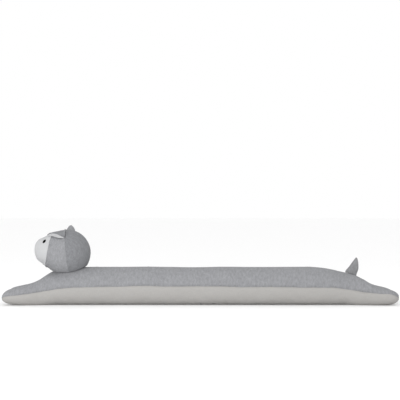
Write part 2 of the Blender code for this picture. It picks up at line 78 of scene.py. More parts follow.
bodyForm = {
    "length": 900.0,
    "topLine": [
        (-450.0, 17.6), (-449.4, 21.0), (-448.0, 24.0), (-444.8, 27.8), (-440.4, 31.6), (-432.3, 35.8),
        (-415.0, 40.0), (-396.0, 44.4), (-381.3, 49.3), (-369.5, 54.7), (-360.9, 59.8), (-350.0, 66.8),
        (-337.2, 74.0), (-312.0, 80.4), (-285.0, 83.6), (-245.0, 84.8), (-185.0, 84.6), (-125.0, 84.9),
        (-65.0, 84.5), (-10.0, 83.9), (50.0, 84.7), (130.0, 84.5), (195.0, 84.9), (250.0, 84.7),
        (275.0, 83.0), (300.5, 79.0), (315.0, 75.5), (330.0, 71.9), (345.0, 68.2), (358.0, 63.8),
        (366.0, 60.0), (374.5, 55.4), (381.8, 51.0), (391.3, 46.2), (405.9, 40.9), (425.7, 36.0),
        (437.3, 32.2), (443.9, 28.4), (448.2, 24.1), (449.5, 21.0), (450.0, 17.6),
    ],
    "underLine": [
        (-450.0, 17.6), (-449.4, 13.2), (-448.0, 10.2), (-445.7, 8.0), (-441.8, 5.7), (-435.0, 3.2),
        (-422.5, 1.0), (-408.0, -1.2), (-394.0, -2.0), (394.0, -2.0), (410.0, -1.2), (426.8, 1.0),
        (439.1, 3.4), (443.4, 5.7), (446.1, 8.0), (448.4, 10.6), (449.5, 13.4), (450.0, 17.6),
    ],
    "sideSeam": [
        (-450.0, 17.6), (-432.0, 22.0), (-405.0, 24.6), (-380.0, 27.8), (-350.0, 33.0), (-318.0, 38.0),
        (-285.0, 41.0), (-240.0, 42.2), (-185.0, 43.4), (-126.0, 45.0), (-70.0, 43.4), (0.0, 43.8),
        (50.0, 43.4), (100.0, 42.0), (160.0, 42.4), (230.0, 41.2), (295.0, 40.8), (325.0, 37.6),
        (352.0, 33.6), (372.0, 30.0), (400.0, 28.0), (425.0, 26.5), (440.0, 22.5), (450.0, 17.6),
    ],
    "trunkHalfWidth": [
        (-450.0, 45.0), (-345.0, 46.2), (-312.0, 47.8), (-285.0, 48.4), (-245.0, 48.2), (-185.0, 47.4),
        (-125.0, 48.3), (-65.0, 47.6), (0.0, 47.2), (65.0, 48.0), (130.0, 47.5), (195.0, 48.4),
        (255.0, 48.2), (300.0, 47.6), (345.0, 46.4), (450.0, 45.0),
    ],
    # from the paw's tip inwards
    "legHalfWidth": [
        (0.0, 0.0), (0.6, 5.4), (2.2, 10.0), (5.0, 14.6), (10.0, 19.0), (16.0, 21.8), (23.0, 22.9),
        (40.0, 23.2), (60.0, 23.6), (78.0, 24.2), (450.0, 24.2),
    ],
    "legCentre": [(0.0, 31.4), (20.0, 31.0), (40.0, 29.2), (60.0, 26.6), (78.0, 24.2), (450.0, 24.2)],
    "crotch": 372.0,         # where the legs part
    "chestStart": 318.0,     # where the trunk begins to turn into two legs
    "chestRoundness": 2.2,
    "bellyFullness": 2.5,    # 2 is a plain round, more is squarer
    "pawRound": 26.0,        # how far in from its tip a paw is round
    "fineStep": 2.1,
    "coarseStep": 9.0,
    "fineAcross": 46,
    "coarseAcross": 11,
    "groove": 2.4,           # how far the side seam is drawn in
    "grooveReach": 3.4,
    "tipGroove": 0.25,       # share of the groove's depth that is left at a paw's tip
    "tipGrooveReach": 40.0,
    "pucker": 0.64,
    "puckerLength": 8.5,
    "puckerReach": 13.0,
    "puckerBunch": 41.0,     # mm between places where the puckers are stronger
    "lump": 0.5,
    "lumpLength": 90.0,
    "lumpFromSeam": 12.0,
    "restingHeight": 0.5,    # cloth lower than this lies on the floor and hardly moves
    "restingHold": 0.8,
    "backUnevenness": 0.6,   # how much of the filling's unevenness shows on the back
    "bellyUnevenness": 0.25,
}

stuffing = {
    "pressure": 4.0,
    "frames": 20,
    "bodyCap": 3.0,
    "headCap": 3.0,
    "startShrink": 1.2,
    "slack": -0.02,          # cloth a little larger than the form, so that it puckers at the seams
    "quality": 6,
    "mass": 0.25,
    "stretch": 18.0,
    "shear": 8.0,
    "bend": 0.35,
}


def curveThrough(table):
    keys = np.array([row[0] for row in table], float)
    values = np.array([row[1] for row in table], float)
    rise = np.diff(values) / np.diff(keys)
    slopes = np.empty_like(values)
    slopes[0] = rise[0]
    slopes[-1] = rise[-1]
    same = rise[:-1] * rise[1:] > 0.0
    total = np.where(same, rise[:-1] + rise[1:], 1.0)
    slopes[1:-1] = np.where(same, 2.0 * rise[:-1] * rise[1:] / total, 0.0)

    def read(at):
        at = np.clip(np.asarray(at, float), keys[0], keys[-1])
        i = np.clip(np.searchsorted(keys, at, side="right") - 1, 0, len(keys) - 2)
        span = keys[i + 1] - keys[i]
        t = (at - keys[i]) / span
        rest = 1.0 - t
        return (
            values[i] * (1.0 + 2.0 * t) * rest * rest
            + values[i + 1] * t * t * (3.0 - 2.0 * t)
            + slopes[i] * span * t * rest * rest
            - slopes[i + 1] * span * t * t * rest
        )

    return read


topLine = curveThrough(bodyForm["topLine"])
underLine = curveThrough(bodyForm["underLine"])
sideSeam = curveThrough(bodyForm["sideSeam"])
trunkHalfWidth = curveThrough(bodyForm["trunkHalfWidth"])
legHalfWidth = curveThrough(bodyForm["legHalfWidth"])
legCentre = curveThrough(bodyForm["legCentre"])


def bodyStations(step):
    half = bodyForm["length"] / 2.0
    crotch = bodyForm["crotch"]
    paw = bodyForm["pawRound"]
    tipCount = max(6, round(1.7 * paw / step))
    turns = np.linspace(0.0, math.pi / 2.0, tipCount + 1)
    tip = half - paw * (1.0 - np.cos(turns))
    legCount = max(3, round((half - paw - crotch) / step))
    leg = np.linspace(half - paw, crotch, legCount + 1)[1:]
    trunk = np.linspace(-crotch, crotch, max(20, round(2.0 * crotch / step)) + 1)[1:-1]
    outer = np.concatenate([tip, leg])
    return np.concatenate([-outer, trunk, outer[::-1]])


def legShare(x):
    start = bodyForm["chestStart"]
    part = np.clip((np.abs(x) - start) / (bodyForm["crotch"] - start), 0.0, 1.0)
    return 1.0 - np.sqrt(np.maximum(0.0, 1.0 - part ** bodyForm["chestRoundness"]))


def bodyPoint(x, across, side, upper):
    # across runs from 0 at the outer seam to 1 at the ridge of the trunk, or at a leg's inner seam
    fromTip = bodyForm["length"] / 2.0 - np.abs(x)
    share = legShare(x)
    seam = sideSeam(x)
    quarter = across * (math.pi / 2.0)
    halfTurn = across * math.pi
    # the belly sags into a fuller corner than the rounded back
    power = 1.0 if upper else 2.0 / bodyForm["bellyFullness"]
    y = (1.0 - share) * trunkHalfWidth(x) * np.cos(quarter) ** power
    y = y + share * (legCentre(fromTip) + legHalfWidth(fromTip) * np.cos(halfTurn))
    arch = (1.0 - share) * np.sin(quarter) ** power + share * np.sin(halfTurn)
    samples = np.linspace(0.0, 1.0, 41)
    shares = share[..., None]
    quarterArch = np.sin(samples * math.pi / 2.0) ** power
    highest = ((1.0 - shares) * quarterArch + shares * np.sin(samples * math.pi)).max(-1)
    height = topLine(x) - seam if upper else underLine(x) - seam
    z = seam + height * arch / highest
    return np.stack([x, side * y, z], -1)


def acrossShares(count):
    even = np.linspace(0.0, 1.0, count)
    return 0.5 * (even + (1.0 - np.cos(even * math.pi)) / 2.0)


def bodyGrids(step, count):
    # four grids: back and belly, left and right
    stations = bodyStations(step)
    across = acrossShares(count)
    x, v = np.meshgrid(stations, across, indexing="ij")
    grids = {}
    for upper in (True, False):
        for side in (-1, 1):
            grids[upper, side] = bodyPoint(x, v, side, upper)
    return stations, across, grids


def addFace(faces, corners, turned=False):
    # a quad, or a triangle where two of its corners are one point
    corners = corners[::-1] if turned else corners
    kept = [int(n) for k, n in enumerate(corners) if n != corners[k - 1]]
    if len(kept) > 2:
        faces.append(tuple(kept))


def bodyMesh(stations, grids):
    # welds the four grids at the seams and the ridges; gives the points and each panel's faces
    rows, columns = grids[True, -1].shape[:2]
    numbers = {}
    points = []
    weld = {}
    for key, gridPoints in grids.items():
        upper, side = key
        table = np.empty((rows, columns), int)
        for i in range(rows):
            isTrunk = abs(stations[i]) <= bodyForm["crotch"] + 1e-6
            isTip = i in (0, rows - 1)
            atCrotch = abs(abs(stations[i]) - bodyForm["crotch"]) < 1e-6
            for j in range(columns):
                if isTip:
                    name = ("tip", i, side)
                elif j == 0:
                    name = ("seam", i, side)
                elif j == columns - 1 and atCrotch:
                    name = ("crotch", i)
                elif j == columns - 1 and isTrunk:
                    name = ("ridge", i, upper)
                elif j == columns - 1:
                    name = ("inner", i, side)
                else:
                    name = None
                if name is None or name not in weld:
                    points.append(gridPoints[i, j])
                    number = len(points) - 1
                    if name is not None:
                        weld[name] = number
                else:
                    number = weld[name]
                table[i, j] = number
        numbers[key] = table
    faces = {True: [], False: []}
    for (upper, side), table in numbers.items():
        for i in range(rows - 1):
            for j in range(columns - 1):
                quad = [table[i, j], table[i + 1, j], table[i + 1, j + 1], table[i, j + 1]]
                addFace(faces[upper], quad, (side == 1) == upper)
    return np.array(points), faces, numbers


def meshObject(name, points, faces, place=None):
    # place: where each point lies on its flat cloth, in mm
    mesh = bpy.data.meshes.new(name)
    mesh.from_pydata([tuple(point) for point in np.asarray(points) * mm], [], faces)
    if place is not None:
        corners = np.concatenate([np.array(face) for face in faces])
        mesh.uv_layers.new(name="cloth").data.foreach_set("uv", (np.asarray(place)[corners] * mm).ravel())
    mesh.update()
    made = bpy.data.objects.new(name, mesh)
    bpy.context.scene.collection.objects.link(made)
    return made


def removeObject(made):
    mesh = made.data
    bpy.data.objects.remove(made, do_unlink=True)
    bpy.data.meshes.remove(mesh)


def pointNormals(points, faces):
    made = meshObject("normals", points, faces)
    normals = np.empty(len(points) * 3)
    made.data.vertex_normals.foreach_get("vector", normals)
    removeObject(made)
    return normals.reshape(-1, 3)


def stuffed(points, faces, held, cap):
    # blows a closed cloth form up for a moment, and gives how far each point moved
    normals = pointNormals(points, faces)
    start = points - normals * stuffing["startShrink"] * (1.0 - held)[:, None]
    made = meshObject("filling", start, faces)
    group = made.vertex_groups.new(name="held")
    for number in np.flatnonzero(held > 0.0):
        group.add([int(number)], float(held[number]), "REPLACE")
    cloth = made.modifiers.new("cloth", "CLOTH")
    settings = cloth.settings
    settings.quality = stuffing["quality"]
    settings.mass = stuffing["mass"]
    settings.tension_stiffness = stuffing["stretch"]
    settings.compression_stiffness = stuffing["stretch"]
    settings.shear_stiffness = stuffing["shear"]
    settings.bending_stiffness = stuffing["bend"]
    settings.use_pressure = True
    settings.uniform_pressure_force = stuffing["pressure"]
    settings.shrink_min = stuffing["slack"]
    settings.vertex_group_mass = "held"
    settings.effector_weights.gravity = 0.0
    cloth.point_cache.frame_start = 1
    cloth.point_cache.frame_end = stuffing["frames"]
    for number in range(1, stuffing["frames"] + 1):
        bpy.context.scene.frame_set(number)
    evaluated = made.evaluated_get(bpy.context.evaluated_depsgraph_get())
    after = np.empty(len(points) * 3)
    evaluated.data.vertices.foreach_get("co", after)
    moved = after.reshape(-1, 3) / mm - points
    bpy.context.scene.frame_set(1)
    removeObject(made)
    # the pattern's size already includes the stuffing, so only the uneven part of the move is kept
    free = held <= 0.0
    swell = float((moved * normals).sum(1)[free].mean())
    moved -= normals * (swell * (1.0 - held))[:, None]
    size = np.linalg.norm(moved, axis=1)
    print("cloth filled: swell", round(swell, 2), "mm, uneven up to", round(float(size.max()), 2), "mm")
    return moved * (np.minimum(size, cap) / np.maximum(size, 1e-9))[:, None]


def resampled(coarseKeys, coarseShares, values, fineKeys, fineShares):
    # a coarse grid of moves read at the fine grid's rows and columns
    alongIt = np.empty((len(fineKeys), len(coarseShares), 3))
    for j in range(len(coarseShares)):
        for c in range(3):
            alongIt[:, j, c] = np.interp(fineKeys, coarseKeys, values[:, j, c])
    result = np.empty((len(fineKeys), len(fineShares), 3))
    for i in range(len(fineKeys)):
        for c in range(3):
            result[i, :, c] = np.interp(fineShares, coarseShares, alongIt[i, :, c])
    return result


def softened(grid, rounds):
    for _ in range(rounds):
        inner = grid.copy()
        inner[1:-1] = 0.5 * grid[1:-1] + 0.25 * (grid[:-2] + grid[2:])
        grid = inner.copy()
        grid[:, 1:-1] = 0.5 * inner[:, 1:-1] + 0.25 * (inner[:, :-2] + inner[:, 2:])
    return grid


def lumps(points, length, seed):
    shift = Vector((seed * 17.3, seed * 5.1, seed * 9.7))
    return np.array([noise.noise(Vector(point) / length + shift) for point in points])


def wave(values, length, row):
    return np.array([noise.noise(Vector((value / length, row, 0.0))) for value in values])


def keptToOutline(stations, grids):
    # after the filling, each section is brought back to the pattern's own top and under lines
    seam = sideSeam(stations)
    for upper, target in ((True, topLine(stations)), (False, underLine(stations))):
        pick = np.max if upper else np.min
        actual = pick(np.stack([pick(grids[upper, side][..., 2], axis=1) for side in (-1, 1)]), axis=0)
        wanted, present = target - seam, actual - seam
        firm = np.abs(wanted) > 3.0
        factor = np.where(firm, wanted / np.where(firm, present, 1.0), 1.0)
        factor = np.clip(factor, 0.6, 1.5)[:, None]
        for side in (-1, 1):
            grid = grids[upper, side]
            grid[..., 2] = seam[:, None] + (grid[..., 2] - seam[:, None]) * factor
    return grids


def makeBody():
    # the body's cloth as one closed form, then parted into back and belly at the side seam
    stationsC, acrossC, gridsC = bodyGrids(bodyForm["coarseStep"], bodyForm["coarseAcross"])
    pointsC, facesC, numbersC = bodyMesh(stationsC, gridsC)
    held = np.zeros(len(pointsC))
    for table in numbersC.values():
        held[table[:, 0]] = 1.0
        isLeg = np.abs(stationsC) >= bodyForm["crotch"] - 1e-6
        held[table[isLeg, -1]] = 1.0
    resting = pointsC[:, 2] < bodyForm["restingHeight"]
    held[resting] = np.maximum(held[resting], bodyForm["restingHold"])
    moved = stuffed(pointsC, facesC[True] + facesC[False], held, stuffing["bodyCap"])
    stations, across, grids = bodyGrids(bodyForm["fineStep"], bodyForm["fineAcross"])
    for upper, side in grids:
        fine = resampled(stationsC, acrossC, moved[numbersC[upper, side]], stations, across)
        uneven = bodyForm["backUnevenness" if upper else "bellyUnevenness"]
        grids[upper, side] = grids[upper, side] + softened(fine, 3) * uneven
    grids = keptToOutline(stations, grids)
    points, faces, numbers = bodyMesh(stations, grids)
    normals = pointNormals(points, faces[True] + faces[False])
    toSeam = np.full(len(points), 1e3)
    along = np.zeros(len(points))
    places = {upper: np.zeros((len(points), 2)) for upper in (True, False)}
    for (upper, side), table in numbers.items():
        line = points[table]
        steps = np.linalg.norm(np.diff(line, axis=1), axis=2)
        fromOuter = np.concatenate([np.zeros((len(stations), 1)), np.cumsum(steps, 1)], 1)
        fromInner = fromOuter[:, -1:] - fromOuter
        lengthwise = np.broadcast_to(stations[:, None], table.shape)
        places[upper][table] = np.stack([lengthwise, side * fromInner], -1)
        isLeg = (np.abs(stations) > bodyForm["crotch"] - 1e-6)[:, None]
        gap = np.abs(np.abs(stations) - bodyForm["crotch"])[:, None]
        pastCrotch = np.hypot(fromInner, gap)
        nearest = np.minimum(fromOuter, np.where(isLeg, fromInner, pastCrotch))
        np.minimum.at(toSeam, table, nearest)
        along[table] = (stations + 2000.0 * side + 500.0 * upper)[:, None]
    fromTip = bodyForm["length"] / 2.0 - np.abs(points[:, 0])
    atTip = bodyForm["tipGroove"]
    atPaw = atTip + (1.0 - atTip) * np.clip(fromTip / bodyForm["tipGrooveReach"], 0.0, 1.0)
    groove = bodyForm["groove"] * atPaw * np.exp(-((toSeam / bodyForm["grooveReach"]) ** 2))
    strength = 0.8 + 1.2 * wave(along, bodyForm["puckerBunch"], 5.37)
    pucker = bodyForm["pucker"] * wave(along, bodyForm["puckerLength"], 0.37) * strength
    pucker = pucker * np.exp(-toSeam / bodyForm["puckerReach"])
    fromSeam = 1.0 - np.exp(-toSeam / bodyForm["lumpFromSeam"])
    lump = bodyForm["lump"] * lumps(points, bodyForm["lumpLength"], 1) * fromSeam
    bellyPoints = np.concatenate([numbers[False, side][:, 1:].ravel() for side in (-1, 1)])
    lump[np.unique(bellyPoints)] *= bodyForm["bellyUnevenness"]
    points = points + normals * (pucker + lump - groove)[:, None]
    points[:, 2] = np.maximum(points[:, 2], 0.0)
    return (stations, points, faces, numbers, places), normals


def cutOut(points, faces, places):
    # one panel's own points, places and faces, and the new number of each old point
    used = sorted({n for face in faces for n in face})
    renumber = {old: new for new, old in enumerate(used)}
    panelFaces = [tuple(renumber[n] for n in face) for face in faces]
    return [points[n] for n in used], [places[n] for n in used], panelFaces, renumber


def closedPanel(name, upper, stations, points, faces, numbers, places):
    # one panel with its hidden inner face along the side seam, so that it is a closed form
    panelPoints, place, panelFaces, renumber = cutOut(points, faces[upper], places[upper])
    inset = seamGap * (1.0 if upper else -1.0)
    rows = len(stations)
    middles = {}
    for i in range(rows):
        if abs(stations[i]) < bodyForm["crotch"] - 1e-6:
            left, right = (points[numbers[upper, side][i, 0]] for side in (-1, 1))
            centre = (left + right) / 2.0
            panelPoints.append(np.array([centre[0], centre[1], centre[2] + inset]))
            place.append(np.zeros(2))
            middles[i] = len(panelPoints) - 1
    for side in (-1, 1):
        table = numbers[upper, side]
        for i in range(rows - 1):
            quad = [
                renumber[table[i, 0]],
                middles.get(i, renumber.get(table[i, -1])),
                middles.get(i + 1, renumber.get(table[i + 1, -1])),
                renumber[table[i + 1, 0]],
            ]
            addFace(panelFaces, quad, (side == 1) == upper)
    return meshObject(name, panelPoints, panelFaces, place)


headForm = {
    "centreX": -315.0,
    "centreZ": 120.0,
    "halfWidth": 57.0,
    "muzzleNarrowing": 0.10,
    # the side outline: angle from the rear, turning up, and radius
    "outline": [
        (0.0, 63.2), (25.0, 60.4), (45.0, 57.3), (58.0, 54.8), (71.0, 52.0), (86.0, 49.4), (106.0, 47.6),
        (127.0, 50.8), (141.0, 53.6), (156.0, 62.8), (168.0, 65.4), (180.0, 64.8), (194.0, 62.2),
        (212.0, 54.0), (233.0, 49.8), (262.0, 52.0), (300.0, 58.6), (328.0, 63.6), (342.0, 63.6),
    ],
    # height and x
    "faceSeam": [
        (70.0, -357.0), (94.0, -350.5), (112.0, -345.6), (126.0, -342.8), (142.0, -340.2),
        (160.0, -335.8), (176.0, -333.0),
    ],
    "facePeak": 11.0,
    "facePeakHalfWidth": 20.0,
    "facePeakLow": 135.0,
    "facePeakHigh": 165.0,
    "earSeamX": -306.2,
    "earSeamZ": 155.0,
    "earSeamLean": -0.105,
    "poleReach": 0.35,
    "fineGrid": (176, 34, 30, 56),   # meridians, then rows of the face, the front and the back
    "coarseGrid": (48, 8, 8, 14),
    "heldBelow": 84.0,       # cloth lower than this rests on the back while the head is filled
    "outlineTurn": 11.0,
    "outlineLift": 26.0,
    "groove": 1.4,
    "earSeamGroove": 0.7,
    "earSeamWidth": 12.0,
    "earRootGroove": 7.0,
    "earRootReach": 0.8,
    "earRootY": -28.0,
    "earRootWidth": 12.0,
    "earRootLow": 140.0,
    "grooveReach": 2.0,
    "pucker": 0.5,
    "puckerLength": 6.0,
    "puckerReach": 8.0,
    "lump": 0.5,
    "lumpLength": 34.0,
    "lumpFromSeam": 10.0,
    "neckX": -318.0,
    "neckGap": 0.5,
    "neckSoftness": 2.4,
    "neckSkirt": 9.0,        # from this far above the back, the head's cloth is drawn down to it
}


def headTable():
    rows = headForm["outline"]
    before = [(angle - 360.0, radius) for angle, radius in rows[-2:]]
    after = [(angle + 360.0, radius) for angle, radius in rows[:2]]
    return before + rows + after


headRadius = curveThrough(headTable())
faceSeamCurve = curveThrough(headForm["faceSeam"])


def headPoint(angle, lift, grow=0.0):
    # angle turns in the side view; lift goes from -90 on the left cheek to 90 on the right one
    turn, up = np.radians(angle), np.radians(lift)
    out = (headRadius(np.mod(angle, 360.0)) + grow) * np.cos(up)
    x = out * np.cos(turn)
    forward = np.maximum(0.0, -x / float(headRadius(180.0)))
    width = (headForm["halfWidth"] + grow) * (1.0 - headForm["muzzleNarrowing"] * forward ** 2)
    z = headForm["centreZ"] + out * np.sin(turn)
    return np.stack(np.broadcast_arrays(headForm["centreX"] + x, width * np.sin(up), z), -1)


def headFromPoles(theta, phi, grow=0.0):
    # theta runs from the nose to the back of the head, phi round the head from its top
    x, y, z = -np.cos(theta), np.sin(theta) * np.sin(phi), np.sin(theta) * np.cos(phi)
    return headPoint(np.degrees(np.arctan2(z, x)), np.degrees(np.arcsin(np.clip(y, -1.0, 1.0))), grow)


def headFromSide(x, z, side, grow=0.0):
    # the head's surface as seen from one side at x and z
    dx, dz = x - headForm["centreX"], z - headForm["centreZ"]
    angle = math.degrees(math.atan2(dz, dx))
    share = min(1.0, math.hypot(dx, dz) / (float(headRadius(angle % 360.0)) + grow))
    return headPoint(angle, side * math.degrees(math.acos(share)), grow)


def faceSeamX(y, z):
    low, high = headForm["facePeakLow"], headForm["facePeakHigh"]
    height = np.clip((z - low) / (high - low), 0.0, 1.0)
    peak = headForm["facePeak"] * height * np.exp(-((y / headForm["facePeakHalfWidth"]) ** 2))
    return faceSeamCurve(z) - peak


def earSeamX(y, z):
    return headForm["earSeamX"] + (z - headForm["earSeamZ"]) * headForm["earSeamLean"]


def seamTheta(phi, seam):
    low = np.full_like(phi, 0.05)
    high = np.full_like(phi, math.pi - 0.05)
    for _ in range(40):
        middle = (low + high) / 2.0
        point = headFromPoles(middle, phi)
        before = point[..., 0] < seam(point[..., 1], point[..., 2])
        low = np.where(before, middle, low)
        high = np.where(before, high, middle)
    return (low + high) / 2.0


def headGrids(meridians, faceRows, frontRows, backRows):
    phi = np.linspace(-math.pi, math.pi, meridians + 1)[:-1]
    faceEdge = seamTheta(phi, faceSeamX)
    earEdge = seamTheta(phi, earSeamX)
    grids = {}
    for name, rows, start, end in (
        ("face", faceRows, np.zeros_like(phi), faceEdge),
        ("front", frontRows, faceEdge, earEdge),
        ("back", backRows, earEdge, np.full_like(phi, math.pi)),
    ):
        even = np.linspace(0.0, 1.0, rows + 1)
        close = (1.0 - np.cos(even * math.pi)) / 2.0
        if name == "face":
            close = np.sin(even * math.pi / 2.0)
        if name == "back":
            close = 1.0 - np.sin((1.0 - even) * math.pi / 2.0)
        share = (0.55 * even + 0.45 * close)[:, None]
        theta = start * (1.0 - share) + end * share
        grids[name] = (theta, np.broadcast_to(phi, theta.shape))
    return phi, grids


def headMesh(grids, pointsOf):
    # the whole head as one closed form: each panel's table of point numbers, and its faces
    points, tables, faces = [], {}, {}
    lastEdge = None
    for name in ("face", "front", "back"):
        gridPoints = pointsOf[name]
        rows, columns = gridPoints.shape[:2]
        table = np.empty((rows, columns), int)
        for i in range(rows):
            if i == 0 and lastEdge is not None:
                table[i] = lastEdge
            elif (name == "face" and i == 0) or (name == "back" and i == rows - 1):
                points.append(gridPoints[i, 0])
                table[i] = len(points) - 1
            else:
                table[i] = np.arange(len(points), len(points) + columns)
                points.extend(gridPoints[i])
        lastEdge = table[-1]
        tables[name] = table
        faces[name] = gridFaces(table)
    return np.array(points), tables, faces


def gridFaces(table):
    # quads of a grid that closes on itself sideways, with triangles at a pole
    faces = []
    rows, columns = table.shape
    for i in range(rows - 1):
        for j in range(columns):
            k = (j + 1) % columns
            addFace(faces, [table[i, j], table[i, k], table[i + 1, k], table[i + 1, j]])
    return faces


def softFloor(z, floor, softness):
    # z, kept above a floor, with a rounded turn where it lands
    gap = (z - floor) / softness
    return floor + softness * np.logaddexp(0.0, gap)


def treeOf(made):
    made.data.update()
    corners = [vertex.co / mm for vertex in made.data.vertices]
    return BVHTree.FromPolygons(corners, [tuple(p.vertices) for p in made.data.polygons])


def topOf(tree, x, y):
    hit = tree.ray_cast(Vector((x, y, 400.0)), Vector((0.0, 0.0, -1.0)))[0]
    return None if hit is None else hit.z


def seatedOn(tree, points, gap, softness, skirt=0.0):
    seated = points.copy()
    for n, (x, y, z) in enumerate(points):
        if z < 100.0:
            top = topOf(tree, x, y)
            if top is None:
                continue
            rise = (z - top - gap) / skirt if skirt else 1.0
            if 0.0 < rise < 1.0:
                z -= 0.45 * skirt * rise * (1.0 - rise) ** 2 * 2.0
            seated[n, 2] = softFloor(z, top + gap, softness) if z < top + gap + 12.0 * softness else z
    return seated


def keptToSideOutline(points, moved):
    # takes out of the move what would change the head's outline in the side view
    out = points - np.array((headForm["centreX"], 0.0, headForm["centreZ"]))
    angle = np.degrees(np.arctan2(out[:, 2], out[:, 0]))
    lift = np.degrees(np.arcsin(np.clip(out[:, 1] / headForm["halfWidth"], -1.0, 1.0)))
    outward = out / np.linalg.norm(out, axis=1)[:, None]
    swell = (moved * outward).sum(1)
    apart = np.abs((angle[:, None] - angle[None, :] + 180.0) % 360.0 - 180.0)
    weight = np.exp(-((apart / headForm["outlineTurn"]) ** 2))
    weight = weight * np.exp(-((lift / headForm["outlineLift"]) ** 2))[None, :]
    return moved - outward * ((weight * swell[None, :]).sum(1) / weight.sum(1))[:, None]


def makeHead(seat):
    phiC, gridsC = headGrids(*headForm["coarseGrid"])
    pointsC, tablesC, facesC = headMesh(gridsC, {k: headFromPoles(*v) for k, v in gridsC.items()})
    held = np.zeros(len(pointsC))
    held[tablesC["face"][-1]] = 1.0
    held[tablesC["front"][-1]] = 1.0
    held[pointsC[:, 2] < headForm["heldBelow"]] = 1.0
    moved = stuffed(pointsC, facesC["face"] + facesC["front"] + facesC["back"], held, stuffing["headCap"])
    moved = keptToSideOutline(pointsC, moved)
    phi, grids = headGrids(*headForm["fineGrid"])
    pointsOf = {}
    wrapped = np.append(phiC, math.pi)
    for name, (theta, _) in grids.items():
        coarse = moved[tablesC[name]]
        coarse = np.concatenate([coarse, coarse[:, :1]], 1)
        rows = np.linspace(0.0, 1.0, theta.shape[0])
        coarseRows = np.linspace(0.0, 1.0, coarse.shape[0])
        fine = resampled(coarseRows, wrapped, coarse, rows, phi)
        # round both poles the rows crowd together, so the filling's move is evened out there
        fromPole = np.minimum(theta, math.pi - theta) / headForm["poleReach"]
        fine = fine * (1.0 - np.exp(-(fromPole ** 2)))[..., None]
        pointsOf[name] = headFromPoles(theta, phi[None, :]) + softened(fine, 2)
    points, tables, faces = headMesh(grids, pointsOf)
    normals = pointNormals(points, faces["face"] + faces["front"] + faces["back"])
    toSeam = np.full(len(points), 1e3)
    for name, table in tables.items():
        line = points[table]
        steps = np.linalg.norm(np.diff(line, axis=0), axis=2)
        fromStart = np.concatenate([np.zeros((1, table.shape[1])), np.cumsum(steps, 0)], 0)
        fromEnd = fromStart[-1:] - fromStart
        nearest = {"face": fromEnd, "front": np.minimum(fromStart, fromEnd), "back": fromStart}[name]
        np.minimum.at(toSeam, table, nearest)
    turned = np.zeros(len(points))
    for name, table in tables.items():
        turned[table] = phi[None, :] * 52.0 + {"face": 0.0, "front": 700.0, "back": 1400.0}[name]
    pucker = headForm["pucker"] * wave(turned, headForm["puckerLength"], 2.71)
    pucker = pucker * np.exp(-toSeam / headForm["puckerReach"])
    # the seam that holds the ears is shallow, but deep behind the near ear's root
    depth = np.full(len(points), headForm["groove"])
    nearEars = np.abs(points[:, 0] - headForm["earSeamX"]) < headForm["earSeamWidth"]
    atRoot = np.exp(-(((headForm["earRootY"] - points[:, 1]) / headForm["earRootWidth"]) ** 4))
    atRoot = atRoot * (points[:, 2] > headForm["earRootLow"]) * (points[:, 1] < 0.0)
    depth = np.where(nearEars, headForm["earSeamGroove"] + headForm["earRootGroove"] * atRoot, depth)
    reach = headForm["grooveReach"] + headForm["earRootReach"] * atRoot * nearEars
    groove = depth * np.exp(-((toSeam / reach) ** 2))
    fromSeam = 1.0 - np.exp(-toSeam / headForm["lumpFromSeam"])
    lump = headForm["lump"] * lumps(points, headForm["lumpLength"], 4) * fromSeam
    points = points + normals * (pucker + lump - groove)[:, None]
    points = seatedOn(seat, points, headForm["neckGap"], headForm["neckSoftness"], headForm["neckSkirt"])
    places = {}
    radius = headForm["halfWidth"]
    for name, (theta, turn) in grids.items():
        if name == "front":
            spread = np.stack([theta * radius, turn * radius], -1)
        else:
            away = (theta if name == "face" else math.pi - theta) * radius
            spread = np.stack([away * np.sin(turn), away * np.cos(turn)], -1)
        places[name] = np.zeros((len(points), 2))
        places[name][tables[name]] = spread
    return points, tables, faces, places


def headPanel(name, points, tables, faces, places, key, edges):
    # one panel of the head with hidden inner faces along its seams, so that it is a closed form
    panelPoints, place, panelFaces, renumber = cutOut(points, faces[key], places[key])
    for row, inset in edges:
        ring = [renumber[n] for n in tables[key][row]]
        centre = sum(panelPoints[n] for n in ring) / len(ring) + np.array((inset, 0.0, 0.0))
        panelPoints.append(centre)
        place.append(np.zeros(2))
        last = len(panelPoints) - 1
        for a, b in zip(ring, ring[1:] + ring[:1]):
            panelFaces.append((a, b, last) if row == -1 else (b, a, last))
    return meshObject(name, panelPoints, panelFaces, place)


